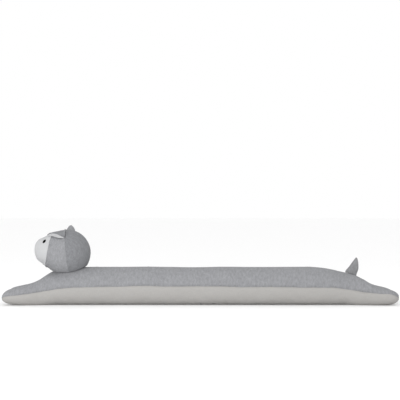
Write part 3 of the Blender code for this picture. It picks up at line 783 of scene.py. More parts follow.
earForm = {
    # along the leaf from its root: half width
    "leaf": [
        (-0.3, 11.0), (0.0, 12.4), (0.22, 14.0), (0.45, 13.4), (0.68, 11.2), (0.85, 8.4), (0.95, 5.2),
        (0.985, 3.2), (1.0, 0.6),
    ],
    "outerThickness": 1.1,
    "liningThickness": 1.3,
    "leafGap": 0.2,
    # how much of the lining shows along the left ear's low edge
    "rim": [
        (0.0, 1.4), (0.15, 4.4), (0.35, 9.4), (0.55, 14.0), (0.72, 16.0), (0.85, 13.4), (0.95, 8.8),
        (1.0, 1.2),
    ],
    # the left ear over the brow: turn, lift and how far off the head it lies
    "lieTurn": [(0.0, 77.5), (0.3, 92.5), (0.65, 111.5), (1.0, 131.0)],
    "lieLift": [(0.0, -37.0), (0.3, -35.6), (0.65, -29.6), (1.0, -21.0)],
    "lieClearance": [(0.0, 0.3), (0.3, 0.5), (0.65, 0.5), (1.0, 0.5)],
    "edgeLift": 3.6,
    "edgeStart": 0.25,
    "tipFlatness": 0.8,
    "length": 39.0,
    # the right ear stands out from the seam, gathered at its root and turned towards its tip
    "root": (-302.5, 30.0, 157.2),
    "rise": 30.2,
    "sweep": -3.2,
    "reach": 39.3,
    "gathered": 0.98,
    "rootTwist": -30.0,
    "tipTwist": -94.5,
    "turnedBy": 0.7,
    "cup": 1.38,
    "start": -0.1,           # its root reaches this far into the head, as a share of its length
    "stepsAlong": 44,
    "stepsAcross": 30,
    "wave": 0.5,
}
earHalfWidth = curveThrough(earForm["leaf"])
earRim = curveThrough(earForm["rim"])
lieTurn = curveThrough(earForm["lieTurn"])
lieLift = curveThrough(earForm["lieLift"])
lieClearance = curveThrough(earForm["lieClearance"])


def leftEarPoint(along, across, height, rim):
    turn, lift, clear = lieTurn(along), lieLift(along), lieClearance(along)
    half = earHalfWidth(along)
    low = half - rim * earRim(along)
    reach = -low + (half + low) * (across + 1.0) / 2.0
    degrees = np.degrees(reach / headRadius(turn))
    edge = np.minimum(1.0, along / earForm["edgeStart"]) * np.clip(-reach / half, 0.0, 1.0) ** 2
    edge = edge * (1.0 - earForm["tipFlatness"] * np.clip(along, 0.0, 1.0) ** 3)
    return headPoint(turn, lift + degrees, clear + earForm["edgeLift"] * edge + height)


def rightEarPoint(along, across, height, rim):
    rise, sweep = math.radians(earForm["rise"]), math.radians(earForm["sweep"])
    share = np.clip(along / earForm["turnedBy"], 0.0, 1.0)
    share = share * share * (3.0 - 2.0 * share)
    twist = np.radians(earForm["rootTwist"] * (1.0 - share) + earForm["tipTwist"] * share)[..., None]
    axis = np.array((math.sin(sweep) * math.cos(rise), math.cos(sweep) * math.cos(rise), math.sin(rise)))
    leaned = math.sin(rise)
    upright = np.array((-math.sin(sweep) * leaned, -math.cos(sweep) * leaned, math.cos(rise)))
    toEdge = upright * np.cos(twist) + np.cross(axis, upright) * np.sin(twist)
    toBack = np.cross(np.broadcast_to(axis, toEdge.shape), toEdge)
    radius = earHalfWidth(along) * earForm["gathered"] / earForm["cup"]
    turn = earForm["cup"] * across
    spoke = radius + height
    centre = np.array(earForm["root"]) + axis * (earForm["reach"] * along)[..., None]
    edgeShare, backShare = spoke * np.sin(turn), spoke * np.cos(turn) - radius
    return centre + toEdge * edgeShare[..., None] + toBack * backShare[..., None]


def leafMesh(name, place, start, under, over, rim, seed):
    # two faces of cloth that meet in a rounded edge all round
    along = start + (1.0 - start) * acrossShares(earForm["stepsAlong"])
    across = np.sin(np.linspace(-1.0, 1.0, earForm["stepsAcross"]) * math.pi / 2.0)
    a, w = np.meshgrid(along, across, indexing="ij")
    span = (1.0 - a) * earForm["length"]
    edge = np.minimum(earHalfWidth(a) * (1.0 - np.abs(w)), span)
    thick = (over - under) / 2.0
    full = np.sqrt(np.clip(1.0 - (1.0 - np.minimum(1.0, edge / thick)) ** 2, 0.0, 1.0))
    middle = (over + under) / 2.0
    shift = Vector((3.1 * seed, 0.0, 0.0))
    bend = np.array([noise.noise(Vector((x * 3.0, y * 1.6, 0.0)) + shift) for x, y in zip(a.ravel(), w.ravel())])
    bend = bend.reshape(a.shape) * earForm["wave"] * np.clip(a * 3.0, 0.0, 1.0)
    low = place(a, w, middle - thick * full + bend, rim)
    high = place(a, w, middle + thick * full + bend, rim)
    rows, columns = a.shape
    points, places, tables = [], [], []
    spread = np.stack([w * earHalfWidth(a), a * earForm["length"]], -1)
    shared = {}
    for layer, gridPoints in enumerate((low, high)):
        table = np.empty((rows, columns), int)
        for i in range(rows):
            for j in range(columns):
                if i == rows - 1 or (i > 0 and j in (0, columns - 1)):
                    if (i, j) not in shared:
                        points.append((low[i, j] + high[i, j]) / 2.0)
                        places.append(spread[i, j])
                        shared[i, j] = len(points) - 1
                    table[i, j] = shared[i, j]
                else:
                    points.append(gridPoints[i, j])
                    places.append(spread[i, j])
                    table[i, j] = len(points) - 1
        tables.append(table)
    faces = []
    for layer, table in enumerate(tables):
        for i in range(rows - 1):
            for j in range(columns - 1):
                quad = [table[i, j], table[i, j + 1], table[i + 1, j + 1], table[i + 1, j]]
                addFace(faces, quad, layer == 1)
    lowRow, highRow = tables[0][0], tables[1][0]
    for j in range(columns - 1):
        addFace(faces, [lowRow[j + 1], lowRow[j], highRow[j], highRow[j + 1]])
    return outwards(meshObject(name, points, faces, places))


def outwards(made):
    volume = 0.0
    for polygon in made.data.polygons:
        corners = [made.data.vertices[n].co for n in polygon.vertices]
        for a, b in zip(corners[1:], corners[2:]):
            volume += corners[0].dot(a.cross(b))
    if volume < 0.0:
        made.data.flip_normals()
    return made


tailForm = {
    "outline": [
        (334.0, 60.0), (332.8, 74.6), (340.2, 84.2), (348.0, 94.8), (354.4, 103.4), (357.4, 106.2),
        (359.8, 104.6), (361.6, 99.0), (362.6, 92.0), (362.6, 80.0), (358.4, 68.0), (355.4, 55.0),
    ],
    "between": 9,
    "rings": 22,
    "halfThickness": 4.5,
    "edge": 0.5,
    "flatness": 3.2,         # 2 is a round section, more is flatter
    "baseGap": 0.4,
    "baseSoftness": 0.8,
}


def smoothLoop(table, between):
    line = []
    count = len(table)
    for n in range(count):
        before, here, after, beyond = (np.array(table[(n + k) % count], float) for k in (-1, 0, 1, 2))
        for step in range(between):
            t = step / between
            line.append(0.5 * (
                2.0 * here + (after - before) * t
                + (2.0 * before - 5.0 * here + 4.0 * after - beyond) * t * t
                + (3.0 * here - before - 3.0 * after + beyond) * t ** 3
            ))
    return np.array(line)


def makeTail(seat):
    line = smoothLoop(tailForm["outline"], tailForm["between"])
    centre = line.mean(0)
    sizes = np.cos(np.linspace(0.0, math.pi / 2.0, tailForm["rings"]))[:-1]
    points, rings = [], []
    for side in (-1, 1):
        for k in (range(len(sizes)) if side == 1 else range(1, len(sizes))):
            size = sizes[k]
            full = math.sqrt(max(0.0, 1.0 - size ** tailForm["flatness"]))
            half = tailForm["edge"] / 2.0 * (k > 0)
            half += (tailForm["halfThickness"] - tailForm["edge"] / 2.0) * full
            ring = centre + (line - centre) * size
            rings.append((side * k, len(points)))
            points.extend(np.array((x, side * half, z)) for x, z in ring)
    count = len(line)
    rings.sort()
    faces = []
    for (_, a), (_, b) in zip(rings, rings[1:]):
        for n in range(count):
            m = (n + 1) % count
            faces.append((a + n, b + n, b + m, a + m))
    half = tailForm["halfThickness"]
    for (_, a), y in ((rings[0], -half), (rings[-1], half)):
        points.append(np.array((centre[0], y, centre[1])))
        for n in range(count):
            m = (n + 1) % count
            last = len(points) - 1
            faces.append((a + n, last, a + m) if y > 0.0 else (a + m, last, a + n))
    points = np.array(points)
    place = points[:, [0, 2]]
    points = seatedOn(seat, points, tailForm["baseGap"], tailForm["baseSoftness"])
    return outwards(meshObject("tailPad", points, faces, place))


eyeForm = {
    "front": (-356.5, 140.8),
    "rear": (-350.0, 148.2),
    "strands": 13,
    "halfWidth": 2.6,
    "thread": 0.5,
    "roundness": 0.88,
    "lift": 0.05,
    "fullness": 0.45,        # how much higher a strand stands in its middle
    "rows": 14,
    "sides": 8,
}


def makeEye(name, side):
    # a slanted satin stitch: strands side by side, fuller in the middle
    front, rear = (np.array(eyeForm[key]) for key in ("front", "rear"))
    away = rear - front
    sideways = np.array((away[1], -away[0])) / np.linalg.norm(away)
    points, faces = [], []
    sides, rows = eyeForm["sides"], eyeForm["rows"]
    for strand in range(eyeForm["strands"]):
        place = -1.0 + 2.0 * strand / (eyeForm["strands"] - 1)
        shorten = 0.5 - 0.5 * math.sqrt(1.0 - eyeForm["roundness"] * place * place)
        path = []
        for row in range(rows):
            share = shorten + (1.0 - 2.0 * shorten) * row / (rows - 1)
            bow = math.sin(math.pi * row / (rows - 1))
            at = front + away * share + sideways * (eyeForm["halfWidth"] * place * (0.8 + 0.2 * bow))
            rise = eyeForm["lift"] + eyeForm["fullness"] * bow * (1.0 - 0.6 * place * place)
            path.append(headFromSide(float(at[0]), float(at[1]), side, rise))
        path = np.array(path)
        base = len(points)
        for row in range(rows):
            before, after = path[max(0, row - 1)], path[min(rows - 1, row + 1)]
            tangent = (after - before) / np.linalg.norm(after - before)
            out = path[row] - np.array((headForm["centreX"], 0.0, headForm["centreZ"]))
            out = out - tangent * out.dot(tangent)
            out /= np.linalg.norm(out)
            beside = np.cross(tangent, out)
            radius = eyeForm["thread"] * (0.35 if row in (0, rows - 1) else 1.0)
            for n in range(sides):
                turn = math.tau * n / sides
                points.append(path[row] + radius * (beside * math.cos(turn) + out * math.sin(turn)))
        for row in range(rows - 1):
            for n in range(sides):
                m = (n + 1) % sides
                a = base + row * sides
                faces.append((a + n, a + m, a + sides + m, a + sides + n))
        faces.append(tuple(base + n for n in reversed(range(sides))))
        faces.append(tuple(base + (rows - 1) * sides + n for n in range(sides)))
    return outwards(meshObject(name, points, faces))


clothLook = {
    # base colour, roughness, share of light and dark flecks, sheen
    "greyMarlJersey": {"colour": (0.252, 0.255, 0.266), "flecks": 0.34, "sheen": 0.06},
    # darker grey marl: the head's back panel, whose cloth is darker, and the near ear's outer leaf, where the darker
    # colour is painted shade on the ear's top
    "greyMarlNapAndShade": {"colour": (0.204, 0.208, 0.218), "flecks": 0.36, "sheen": 0.06},
    "greyMarlTail": {"colour": (0.222, 0.224, 0.23), "flecks": 0.5, "sheen": 0.06},
    "paleJersey": {"colour": (0.452, 0.456, 0.464), "flecks": 0.05, "sheen": 0.08},
    "beigeCotton": {"colour": (0.352, 0.343, 0.332), "slubs": 0.07},
    "waleWidth": 1.5,        # mm between the jersey's ribs of loops
    "courseHeight": 1.1,
    "threadPitch": 0.9,      # mm between the cotton's threads
}


def newGroup(name, inputs, outputs):
    group = bpy.data.node_groups.new(name, "ShaderNodeTree")
    for socket, kind, value in inputs:
        made = group.interface.new_socket(socket, in_out="INPUT", socket_type=kind)
        if value is not None:
            made.default_value = value
    for socket, kind in outputs:
        group.interface.new_socket(socket, in_out="OUTPUT", socket_type=kind)
    return group, group.nodes.new("NodeGroupInput"), group.nodes.new("NodeGroupOutput")


def mathNode(tree, operation, first, second=None, third=None):
    node = tree.nodes.new("ShaderNodeMath")
    node.operation = operation
    for n, value in enumerate((first, second, third)):
        if value is None:
            continue
        if isinstance(value, (int, float)):
            node.inputs[n].default_value = value
        else:
            tree.links.new(value, node.inputs[n])
    return node.outputs[0]


def stretchedNoise(tree, vector, scale, detail=2.0):
    stretch = tree.nodes.new("ShaderNodeVectorMath")
    stretch.operation = "MULTIPLY"
    tree.links.new(vector, stretch.inputs[0])
    stretch.inputs[1].default_value = scale
    texture = tree.nodes.new("ShaderNodeTexNoise")
    texture.noise_dimensions = "2D"
    texture.inputs["Scale"].default_value = 1.0
    texture.inputs["Detail"].default_value = detail
    tree.links.new(stretch.outputs[0], texture.inputs["Vector"])
    return texture.outputs["Fac"]


def marlGroup():
    # heathered yarn: the cloth's colour with short light and dark flecks along its ribs
    group, given, result = newGroup(
        "marlYarn",
        (("Cloth", "NodeSocketVector", None), ("Colour", "NodeSocketColor", None), ("Flecks", "NodeSocketFloat", 0.3)),
        (("Colour", "NodeSocketColor"),),
    )
    cloth = given.outputs["Cloth"]
    long = stretchedNoise(group, cloth, (900.0, 210.0, 0.0), 3.0)
    short = stretchedNoise(group, cloth, (2100.0, 800.0, 0.0), 1.0)
    broad = stretchedNoise(group, cloth, (210.0, 90.0, 0.0), 1.0)
    mixed = mathNode(group, "ADD", mathNode(group, "MULTIPLY", long, 1.3), mathNode(group, "MULTIPLY", short, 0.7))
    mixed = mathNode(group, "ADD", mixed, mathNode(group, "MULTIPLY", broad, 1.0))
    swing = mathNode(group, "MULTIPLY_ADD", mathNode(group, "SUBTRACT", mixed, 1.5), given.outputs["Flecks"], 1.0)
    scale = group.nodes.new("ShaderNodeVectorMath")
    scale.operation = "SCALE"
    group.links.new(given.outputs["Colour"], scale.inputs[0])
    group.links.new(swing, scale.inputs["Scale"])
    group.links.new(scale.outputs[0], result.inputs["Colour"])
    return group


def reliefGroup(name, height):
    # a bump from a height made of the cloth's own coordinates in millimetres
    group, given, result = newGroup(
        name,
        (("Cloth", "NodeSocketVector", None), ("Depth", "NodeSocketFloat", 0.2)),
        (("Normal", "NodeSocketVector"), ("Height", "NodeSocketFloat")),
    )
    toMillimetres = group.nodes.new("ShaderNodeVectorMath")
    toMillimetres.operation = "SCALE"
    toMillimetres.inputs["Scale"].default_value = 1000.0
    group.links.new(given.outputs["Cloth"], toMillimetres.inputs[0])
    parts = group.nodes.new("ShaderNodeSeparateXYZ")
    group.links.new(toMillimetres.outputs[0], parts.inputs[0])
    value = height(group, parts.outputs["X"], parts.outputs["Y"], given.outputs["Cloth"])
    bump = group.nodes.new("ShaderNodeBump")
    bump.inputs["Strength"].default_value = 1.0
    group.links.new(mathNode(group, "MULTIPLY", given.outputs["Depth"], 0.001), bump.inputs["Distance"])
    group.links.new(value, bump.inputs["Height"])
    group.links.new(bump.outputs["Normal"], result.inputs["Normal"])
    group.links.new(value, result.inputs["Height"])
    return group


def knitHeight(tree, u, v, cloth):
    # ribs of V-shaped loops: the ribs run along v
    wale = mathNode(tree, "MULTIPLY", u, math.tau / clothLook["waleWidth"])
    rib = mathNode(tree, "MULTIPLY_ADD", mathNode(tree, "COSINE", wale), -0.5, 0.5)
    across = mathNode(tree, "ABSOLUTE", mathNode(tree, "SINE", mathNode(tree, "MULTIPLY", wale, 0.5)))
    slant = mathNode(tree, "MULTIPLY_ADD", v, math.tau / clothLook["courseHeight"], mathNode(tree, "MULTIPLY", across, 2.6))
    loop = mathNode(tree, "MULTIPLY_ADD", mathNode(tree, "SINE", slant), 0.5, 0.5)
    fuzz = stretchedNoise(tree, cloth, (2600.0, 1700.0, 0.0), 2.0)
    body = mathNode(tree, "ADD", mathNode(tree, "MULTIPLY", rib, 0.55), mathNode(tree, "MULTIPLY", loop, 0.35))
    return mathNode(tree, "MULTIPLY_ADD", fuzz, 0.5, body)


def weaveHeight(tree, u, v, cloth):
    # plain weave: threads over and under each other
    turn = math.pi / clothLook["threadPitch"]
    warp = mathNode(tree, "SINE", mathNode(tree, "MULTIPLY", u, turn))
    weft = mathNode(tree, "SINE", mathNode(tree, "MULTIPLY", v, turn))
    over = mathNode(tree, "MULTIPLY", mathNode(tree, "MULTIPLY", warp, weft), 0.5)
    plump = mathNode(tree, "ADD", mathNode(tree, "ABSOLUTE", warp), mathNode(tree, "ABSOLUTE", weft))
    body = mathNode(tree, "MULTIPLY_ADD", plump, 0.3, over)
    slub = stretchedNoise(tree, cloth, (420.0, 2200.0, 0.0), 2.0)
    return mathNode(tree, "MULTIPLY_ADD", slub, 0.5, body)


def slubGroup():
    # cotton: uneven threads both ways, a little lighter and darker
    group, given, result = newGroup(
        "cottonThread",
        (("Cloth", "NodeSocketVector", None), ("Colour", "NodeSocketColor", None), ("Slubs", "NodeSocketFloat", 0.1)),
        (("Colour", "NodeSocketColor"),),
    )
    cloth = given.outputs["Cloth"]
    alongIt = stretchedNoise(group, cloth, (110.0, 1500.0, 0.0), 2.0)
    acrossIt = stretchedNoise(group, cloth, (1500.0, 110.0, 0.0), 2.0)
    mixed = mathNode(group, "SUBTRACT", mathNode(group, "ADD", alongIt, acrossIt), 1.0)
    swing = mathNode(group, "MULTIPLY_ADD", mixed, mathNode(group, "MULTIPLY", given.outputs["Slubs"], 2.0), 1.0)
    scale = group.nodes.new("ShaderNodeVectorMath")
    scale.operation = "SCALE"
    group.links.new(given.outputs["Colour"], scale.inputs[0])
    group.links.new(swing, scale.inputs["Scale"])
    group.links.new(scale.outputs[0], result.inputs["Colour"])
    return group


def plainMaterial(name, colour, roughness, specular=0.5):
    material = bpy.data.materials.new(name)
    material.use_nodes = True
    shader = material.node_tree.nodes["Principled BSDF"]
    shader.inputs["Base Color"].default_value = (*colour, 1.0)
    shader.inputs["Roughness"].default_value = roughness
    shader.inputs["Specular IOR Level"].default_value = specular
    return material


def clothMaterial(name, colourGroup, amountName, amount, relief, depth, colour, roughness, sheen):
    material = bpy.data.materials.new(name)
    material.use_nodes = True
    tree = material.node_tree
    shader = tree.nodes["Principled BSDF"]
    shader.inputs["Roughness"].default_value = roughness
    shader.inputs["Specular IOR Level"].default_value = 0.15
    shader.inputs["Sheen Weight"].default_value = sheen
    shader.inputs["Sheen Roughness"].default_value = 0.6
    place = tree.nodes.new("ShaderNodeUVMap")
    place.uv_map = "cloth"
    yarn = tree.nodes.new("ShaderNodeGroup")
    yarn.node_tree = colourGroup
    yarn.inputs["Colour"].default_value = (*colour, 1.0)
    yarn.inputs[amountName].default_value = amount
    bump = tree.nodes.new("ShaderNodeGroup")
    bump.node_tree = relief
    bump.inputs["Depth"].default_value = depth
    tree.links.new(place.outputs["UV"], yarn.inputs["Cloth"])
    tree.links.new(place.outputs["UV"], bump.inputs["Cloth"])
    tree.links.new(yarn.outputs["Colour"], shader.inputs["Base Color"])
    tree.links.new(bump.outputs["Normal"], shader.inputs["Normal"])
    return material


def threadMaterial(name, colour, roughness, specular):
    # twisted thread: fine streaks in its colour and its surface
    material = plainMaterial(name, colour, roughness, specular)
    tree = material.node_tree
    shader = tree.nodes["Principled BSDF"]
    place = tree.nodes.new("ShaderNodeTexCoord")
    streaks = tree.nodes.new("ShaderNodeTexNoise")
    streaks.inputs["Scale"].default_value = stitchForm["streaks"]
    streaks.inputs["Detail"].default_value = 2.0
    tree.links.new(place.outputs["Object"], streaks.inputs["Vector"])
    tint = tree.nodes.new("ShaderNodeVectorMath")
    tint.operation = "SCALE"
    tint.inputs[0].default_value = colour
    tree.links.new(mathNode(tree, "MULTIPLY_ADD", streaks.outputs["Fac"], 0.9, 0.55), tint.inputs["Scale"])
    tree.links.new(tint.outputs[0], shader.inputs["Base Color"])
    bump = tree.nodes.new("ShaderNodeBump")
    bump.inputs["Distance"].default_value = 0.0001
    tree.links.new(streaks.outputs["Fac"], bump.inputs["Height"])
    tree.links.new(bump.outputs["Normal"], shader.inputs["Normal"])
    return material


stitchForm = {
    # spacing, length and thickness of each row's stitches
    "sideSeam": {"pitch": 3.2, "length": 2.7, "thread": 0.34, "seed": 3},
    "headSeam": {"pitch": 2.4, "length": 1.9, "thread": 0.28, "seed": 5},
    "neck": {"pitch": 4.0, "length": 3.4, "thread": 0.45, "seed": 7},
    "closing": {"pitch": 2.7, "length": 1.9, "thread": 0.42, "seed": 9},
    "tack": {"pitch": 0.6, "length": 2.4, "thread": 0.8, "seed": 11},
    # near-black stitches at the near ear's root: painted shade standing in for the shadow in the fold there
    "earRoot": {"pitch": 0.45, "length": 1.5, "thread": 0.5, "seed": 13},
    "lean": 0.16,            # how unevenly the stitches lie
    "raised": 0.12,          # how far they stand on the cloth
    # the slit low on the near side, sewn shut after the filling, with a short run of close-set dark stitches at each
    # end
    "closingEnds": (-1.0, 33.0),
    "tackEnds": ((-0.5, 4.5), (26.5, 33.5)),
    "closingHeight": 2.2,
    "earRootSpan": (153.5, 166.5),   # heights between which dark stitches paint the shadow in the fold at the near ear's root
    "earRootShift": 0.9,
    "headSeamFrom": 92.0,
    "coverDepth": 7.0,
    "neckGap": 1.3,
    "streaks": 2400.0,
    "grey": (0.19, 0.192, 0.2),
    "beige": (0.22, 0.214, 0.2),
    "dark": (0.018, 0.018, 0.019),
    # colour of the stitches that paint the fold's shadow at the near ear's root
    "shade": (0.05, 0.05, 0.053),
}


def stitchGroup():
    # a row of short threads along a line, each laid along the line's own "across" direction
    group = bpy.data.node_groups.new("stitchRow", "GeometryNodeTree")
    for socket, kind in (
        ("Line", "NodeSocketGeometry"), ("Pitch", "NodeSocketFloat"), ("Length", "NodeSocketFloat"),
        ("Thread", "NodeSocketFloat"), ("Lean", "NodeSocketFloat"), ("Seed", "NodeSocketInt"),
        ("Material", "NodeSocketMaterial"),
    ):
        group.interface.new_socket(socket, in_out="INPUT", socket_type=kind)
    group.interface.new_socket("Stitches", in_out="OUTPUT", socket_type="NodeSocketGeometry")
    nodes, link = group.nodes, group.links.new
    given, result = nodes.new("NodeGroupInput"), nodes.new("NodeGroupOutput")
    curve = nodes.new("GeometryNodeMeshToCurve")
    link(given.outputs["Line"], curve.inputs["Mesh"])
    even = nodes.new("GeometryNodeResampleCurve")
    even.mode = "LENGTH"
    link(curve.outputs["Curve"], even.inputs["Curve"])
    link(given.outputs["Pitch"], even.inputs["Length"])
    across = nodes.new("GeometryNodeInputNamedAttribute")
    across.data_type = "FLOAT_VECTOR"
    across.inputs["Name"].default_value = "across"
    wander = nodes.new("FunctionNodeRandomValue")
    wander.data_type = "FLOAT_VECTOR"
    wander.inputs["Min"].default_value = (-1.0, -1.0, -1.0)
    link(given.outputs["Seed"], wander.inputs["Seed"])
    sway = nodes.new("ShaderNodeVectorMath")
    sway.operation = "SCALE"
    link(wander.outputs["Value"], sway.inputs[0])
    link(given.outputs["Lean"], sway.inputs["Scale"])
    way = nodes.new("ShaderNodeVectorMath")
    link(across.outputs["Attribute"], way.inputs[0])
    link(sway.outputs[0], way.inputs[1])
    aim = nodes.new("FunctionNodeAlignRotationToVector")
    aim.axis = "Z"
    link(way.outputs[0], aim.inputs["Vector"])
    size = nodes.new("ShaderNodeCombineXYZ")
    for axis, socket in (("X", "Thread"), ("Y", "Thread"), ("Z", "Length")):
        link(given.outputs[socket], size.inputs[axis])
    thread = nodes.new("GeometryNodeMeshUVSphere")
    thread.inputs["Segments"].default_value = 8
    thread.inputs["Rings"].default_value = 7
    thread.inputs["Radius"].default_value = 0.5
    row = nodes.new("GeometryNodeInstanceOnPoints")
    link(even.outputs["Curve"], row.inputs["Points"])
    link(thread.outputs["Mesh"], row.inputs["Instance"])
    link(aim.outputs["Rotation"], row.inputs["Rotation"])
    link(size.outputs["Vector"], row.inputs["Scale"])
    real = nodes.new("GeometryNodeRealizeInstances")
    link(row.outputs["Instances"], real.inputs["Geometry"])
    coloured = nodes.new("GeometryNodeSetMaterial")
    link(real.outputs["Geometry"], coloured.inputs["Geometry"])
    link(given.outputs["Material"], coloured.inputs["Material"])
    link(coloured.outputs["Geometry"], result.inputs["Stitches"])
    return group


def sewn(name, key, lines, group, material):
    # lines: points, the direction across the seam at each, and whether the row closes on itself
    row = stitchForm[key]
    points, edges, directions = [], [], []
    for linePoints, across, closed in lines:
        count, base = len(linePoints), len(points)
        points.extend(linePoints)
        directions.extend(across)
        edges.extend((base + n, base + (n + 1) % count) for n in range(count if closed else count - 1))
    mesh = bpy.data.meshes.new(name + "Line")
    mesh.from_pydata([tuple(point) for point in np.array(points) * mm], edges, [])
    mesh.attributes.new("across", "FLOAT_VECTOR", "POINT").data.foreach_set("vector", np.array(directions).ravel())
    made = bpy.data.objects.new(name, mesh)
    bpy.context.scene.collection.objects.link(made)
    modifier = made.modifiers.new("stitches", "NODES")
    modifier.node_group = group
    sockets = {item.name: item.identifier for item in group.interface.items_tree if item.item_type == "SOCKET"}
    for socket, value in (
        ("Pitch", row["pitch"] * mm), ("Length", row["length"] * mm), ("Thread", row["thread"] * mm),
        ("Lean", stitchForm["lean"]), ("Seed", row["seed"]), ("Material", material),
    ):
        modifier[sockets[socket]] = value
    evaluated = made.evaluated_get(bpy.context.evaluated_depsgraph_get())
    plain = bpy.data.meshes.new_from_object(evaluated)
    made.modifiers.remove(modifier)
    made.data = plain
    bpy.data.meshes.remove(mesh)
    plain.shade_smooth()
    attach(made, "root")
    print(name, "has", len(plain.polygons) // 56, "stitches")
    return made


def unit(vectors):
    return vectors / np.maximum(np.linalg.norm(vectors, axis=-1, keepdims=True), 1e-9)


def sideSeamLine(stations, points, faces, numbers, places):
    # once round the whole body: the outer seams, and the inner seams of the legs
    path = []
    last = len(stations) - 1
    legRows = [i for i in range(len(stations)) if stations[i] > bodyForm["crotch"] - 1e-6]
    foreRows = [i for i in range(len(stations)) if stations[i] < -bodyForm["crotch"] + 1e-6]
    walks = (
        (-1, 0, range(0, last)), (-1, -1, legRows[::-1]), (1, -1, legRows[1:-1]), (1, 0, range(last, 0, -1)),
        (1, -1, foreRows), (-1, -1, foreRows[-2:0:-1]),
    )
    for side, column, rows in walks:
        beside = 1 if column == 0 else -2
        for i in rows:
            upper, lower = numbers[True, side], numbers[False, side]
            path.append((upper[i, column], upper[i, beside], lower[i, beside]))
    path = np.array(path)
    across = unit(points[path[:, 1]] - points[path[:, 2]])
    across[np.abs(across).sum(1) < 0.5] = (0.0, 0.0, 1.0)
    return points[path[:, 0]] + bodyNormals[path[:, 0]] * stitchForm["raised"], across, True


def closingLine(ends, stations, points, faces, numbers, places):
    # along the near side of the belly at one height
    table = numbers[False, -1]
    line, across = [], []
    for x in np.linspace(ends[0], ends[1], 25):
        i = int(np.argmin(np.abs(stations - x)))
        column = points[table[i]]
        j = int(np.argmax(column[:, 2] < stitchForm["closingHeight"]))
        upper, lower = column[j - 1], column[j]
        share = (upper[2] - stitchForm["closingHeight"]) / (upper[2] - lower[2])
        at = upper * (1.0 - share) + lower * share + bodyNormals[table[i, j]] * stitchForm["raised"]
        line.append((x, at[1], at[2]))
        across.append(upper - lower)
    return np.array(line), unit(np.array(across)), False


def uncovered(line, across, out, cover):
    # the stretches of a row that no ear lies over
    clear = []
    for point, way in zip(line, out):
        start = Vector(point - way * stitchForm["coverDepth"])
        clear.append(all(tree.ray_cast(start, Vector(way), 2.0 * stitchForm["coverDepth"])[0] is None for tree in cover))
    runs, first = [], None
    for n, free in enumerate(clear + [False]):
        if free and first is None:
            first = n
        elif not free and first is not None:
            if n - first > 2:
                runs.append((line[first:n], across[first:n], False))
            first = None
    return runs


def headSeamLines(cover, points, tables, faces, places):
    lines = []
    for key, after in (("face", "front"), ("front", "back")):
        ring = points[tables[key][-1]]
        across = unit(points[tables[after][1]] - points[tables[key][-2]])
        out = unit(ring - np.array((ring[:, 0].mean(), 0.0, headForm["centreZ"])))
        clear = ring[:, 2] > stitchForm["headSeamFrom"]
        turned = np.roll(np.arange(len(ring)), -int(np.argmin(clear)))
        kept = turned[clear[turned]]
        lines.extend(uncovered(ring[kept] + out[kept] * stitchForm["raised"], across[kept], out[kept], cover))
    return lines


def earRootLine(ears, points, tables, faces, places):
    # a row of near-black stitches over the root of the near ear, laid on whatever is outermost there: painted shade
    # for the fold where the ear is sewn in
    ring = points[tables["front"][-1]]
    near = ring[ring[:, 1] < 0.0]
    near = near[np.argsort(near[:, 2])]
    headTree = BVHTree.FromPolygons([Vector(p) for p in points], faces["front"] + faces["back"])
    inwards = Vector((0.0, 1.0, 0.0))
    line = []
    for z in np.linspace(*stitchForm["earRootSpan"], 24):
        start = Vector((np.interp(z, near[:, 2], near[:, 0]) + stitchForm["earRootShift"], -120.0, z))
        hits = [tree.ray_cast(start, inwards)[0] for tree in (headTree, *ears)]
        outermost = min(hit.y for hit in hits if hit is not None)
        line.append((start.x, outermost - stitchForm["raised"], z))
    return np.array(line), np.tile((1.0, 0.0, 0.0), (len(line), 1)), False


def neckLine(seat, points, tables, faces, places):
    # round the place where the head meets the back
    headTree = BVHTree.FromPolygons([Vector(p) for p in points], faces["face"] + faces["front"] + faces["back"])
    line, across = [], []
    centreX = headForm["neckX"]
    for turn in np.linspace(0.0, math.tau, 91)[:-1]:
        way = np.array((math.cos(turn), math.sin(turn)))
        found = None
        for reach in np.arange(12.0, 70.0, 0.5):
            x, y = centreX + way[0] * reach, way[1] * reach
            top = topOf(seat, x, y)
            if top is None:
                break
            under = headTree.ray_cast(Vector((x, y, top + 0.02)), Vector((0.0, 0.0, 1.0)))[0]
            if under is None:
                break
            found = np.array((x, y, (top + under.z) / 2.0))
            if under.z - top > stitchForm["neckGap"]:
                break
        if found is not None:
            line.append(found)
            across.append((way[0] * 0.3, way[1] * 0.3, 1.0))
    return np.array(line), unit(np.array(across)), True


def finishMesh(made, node, material):
    made.data.materials.append(material)
    made.data.shade_smooth()
    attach(made, "root")
    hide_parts(node)
    return made


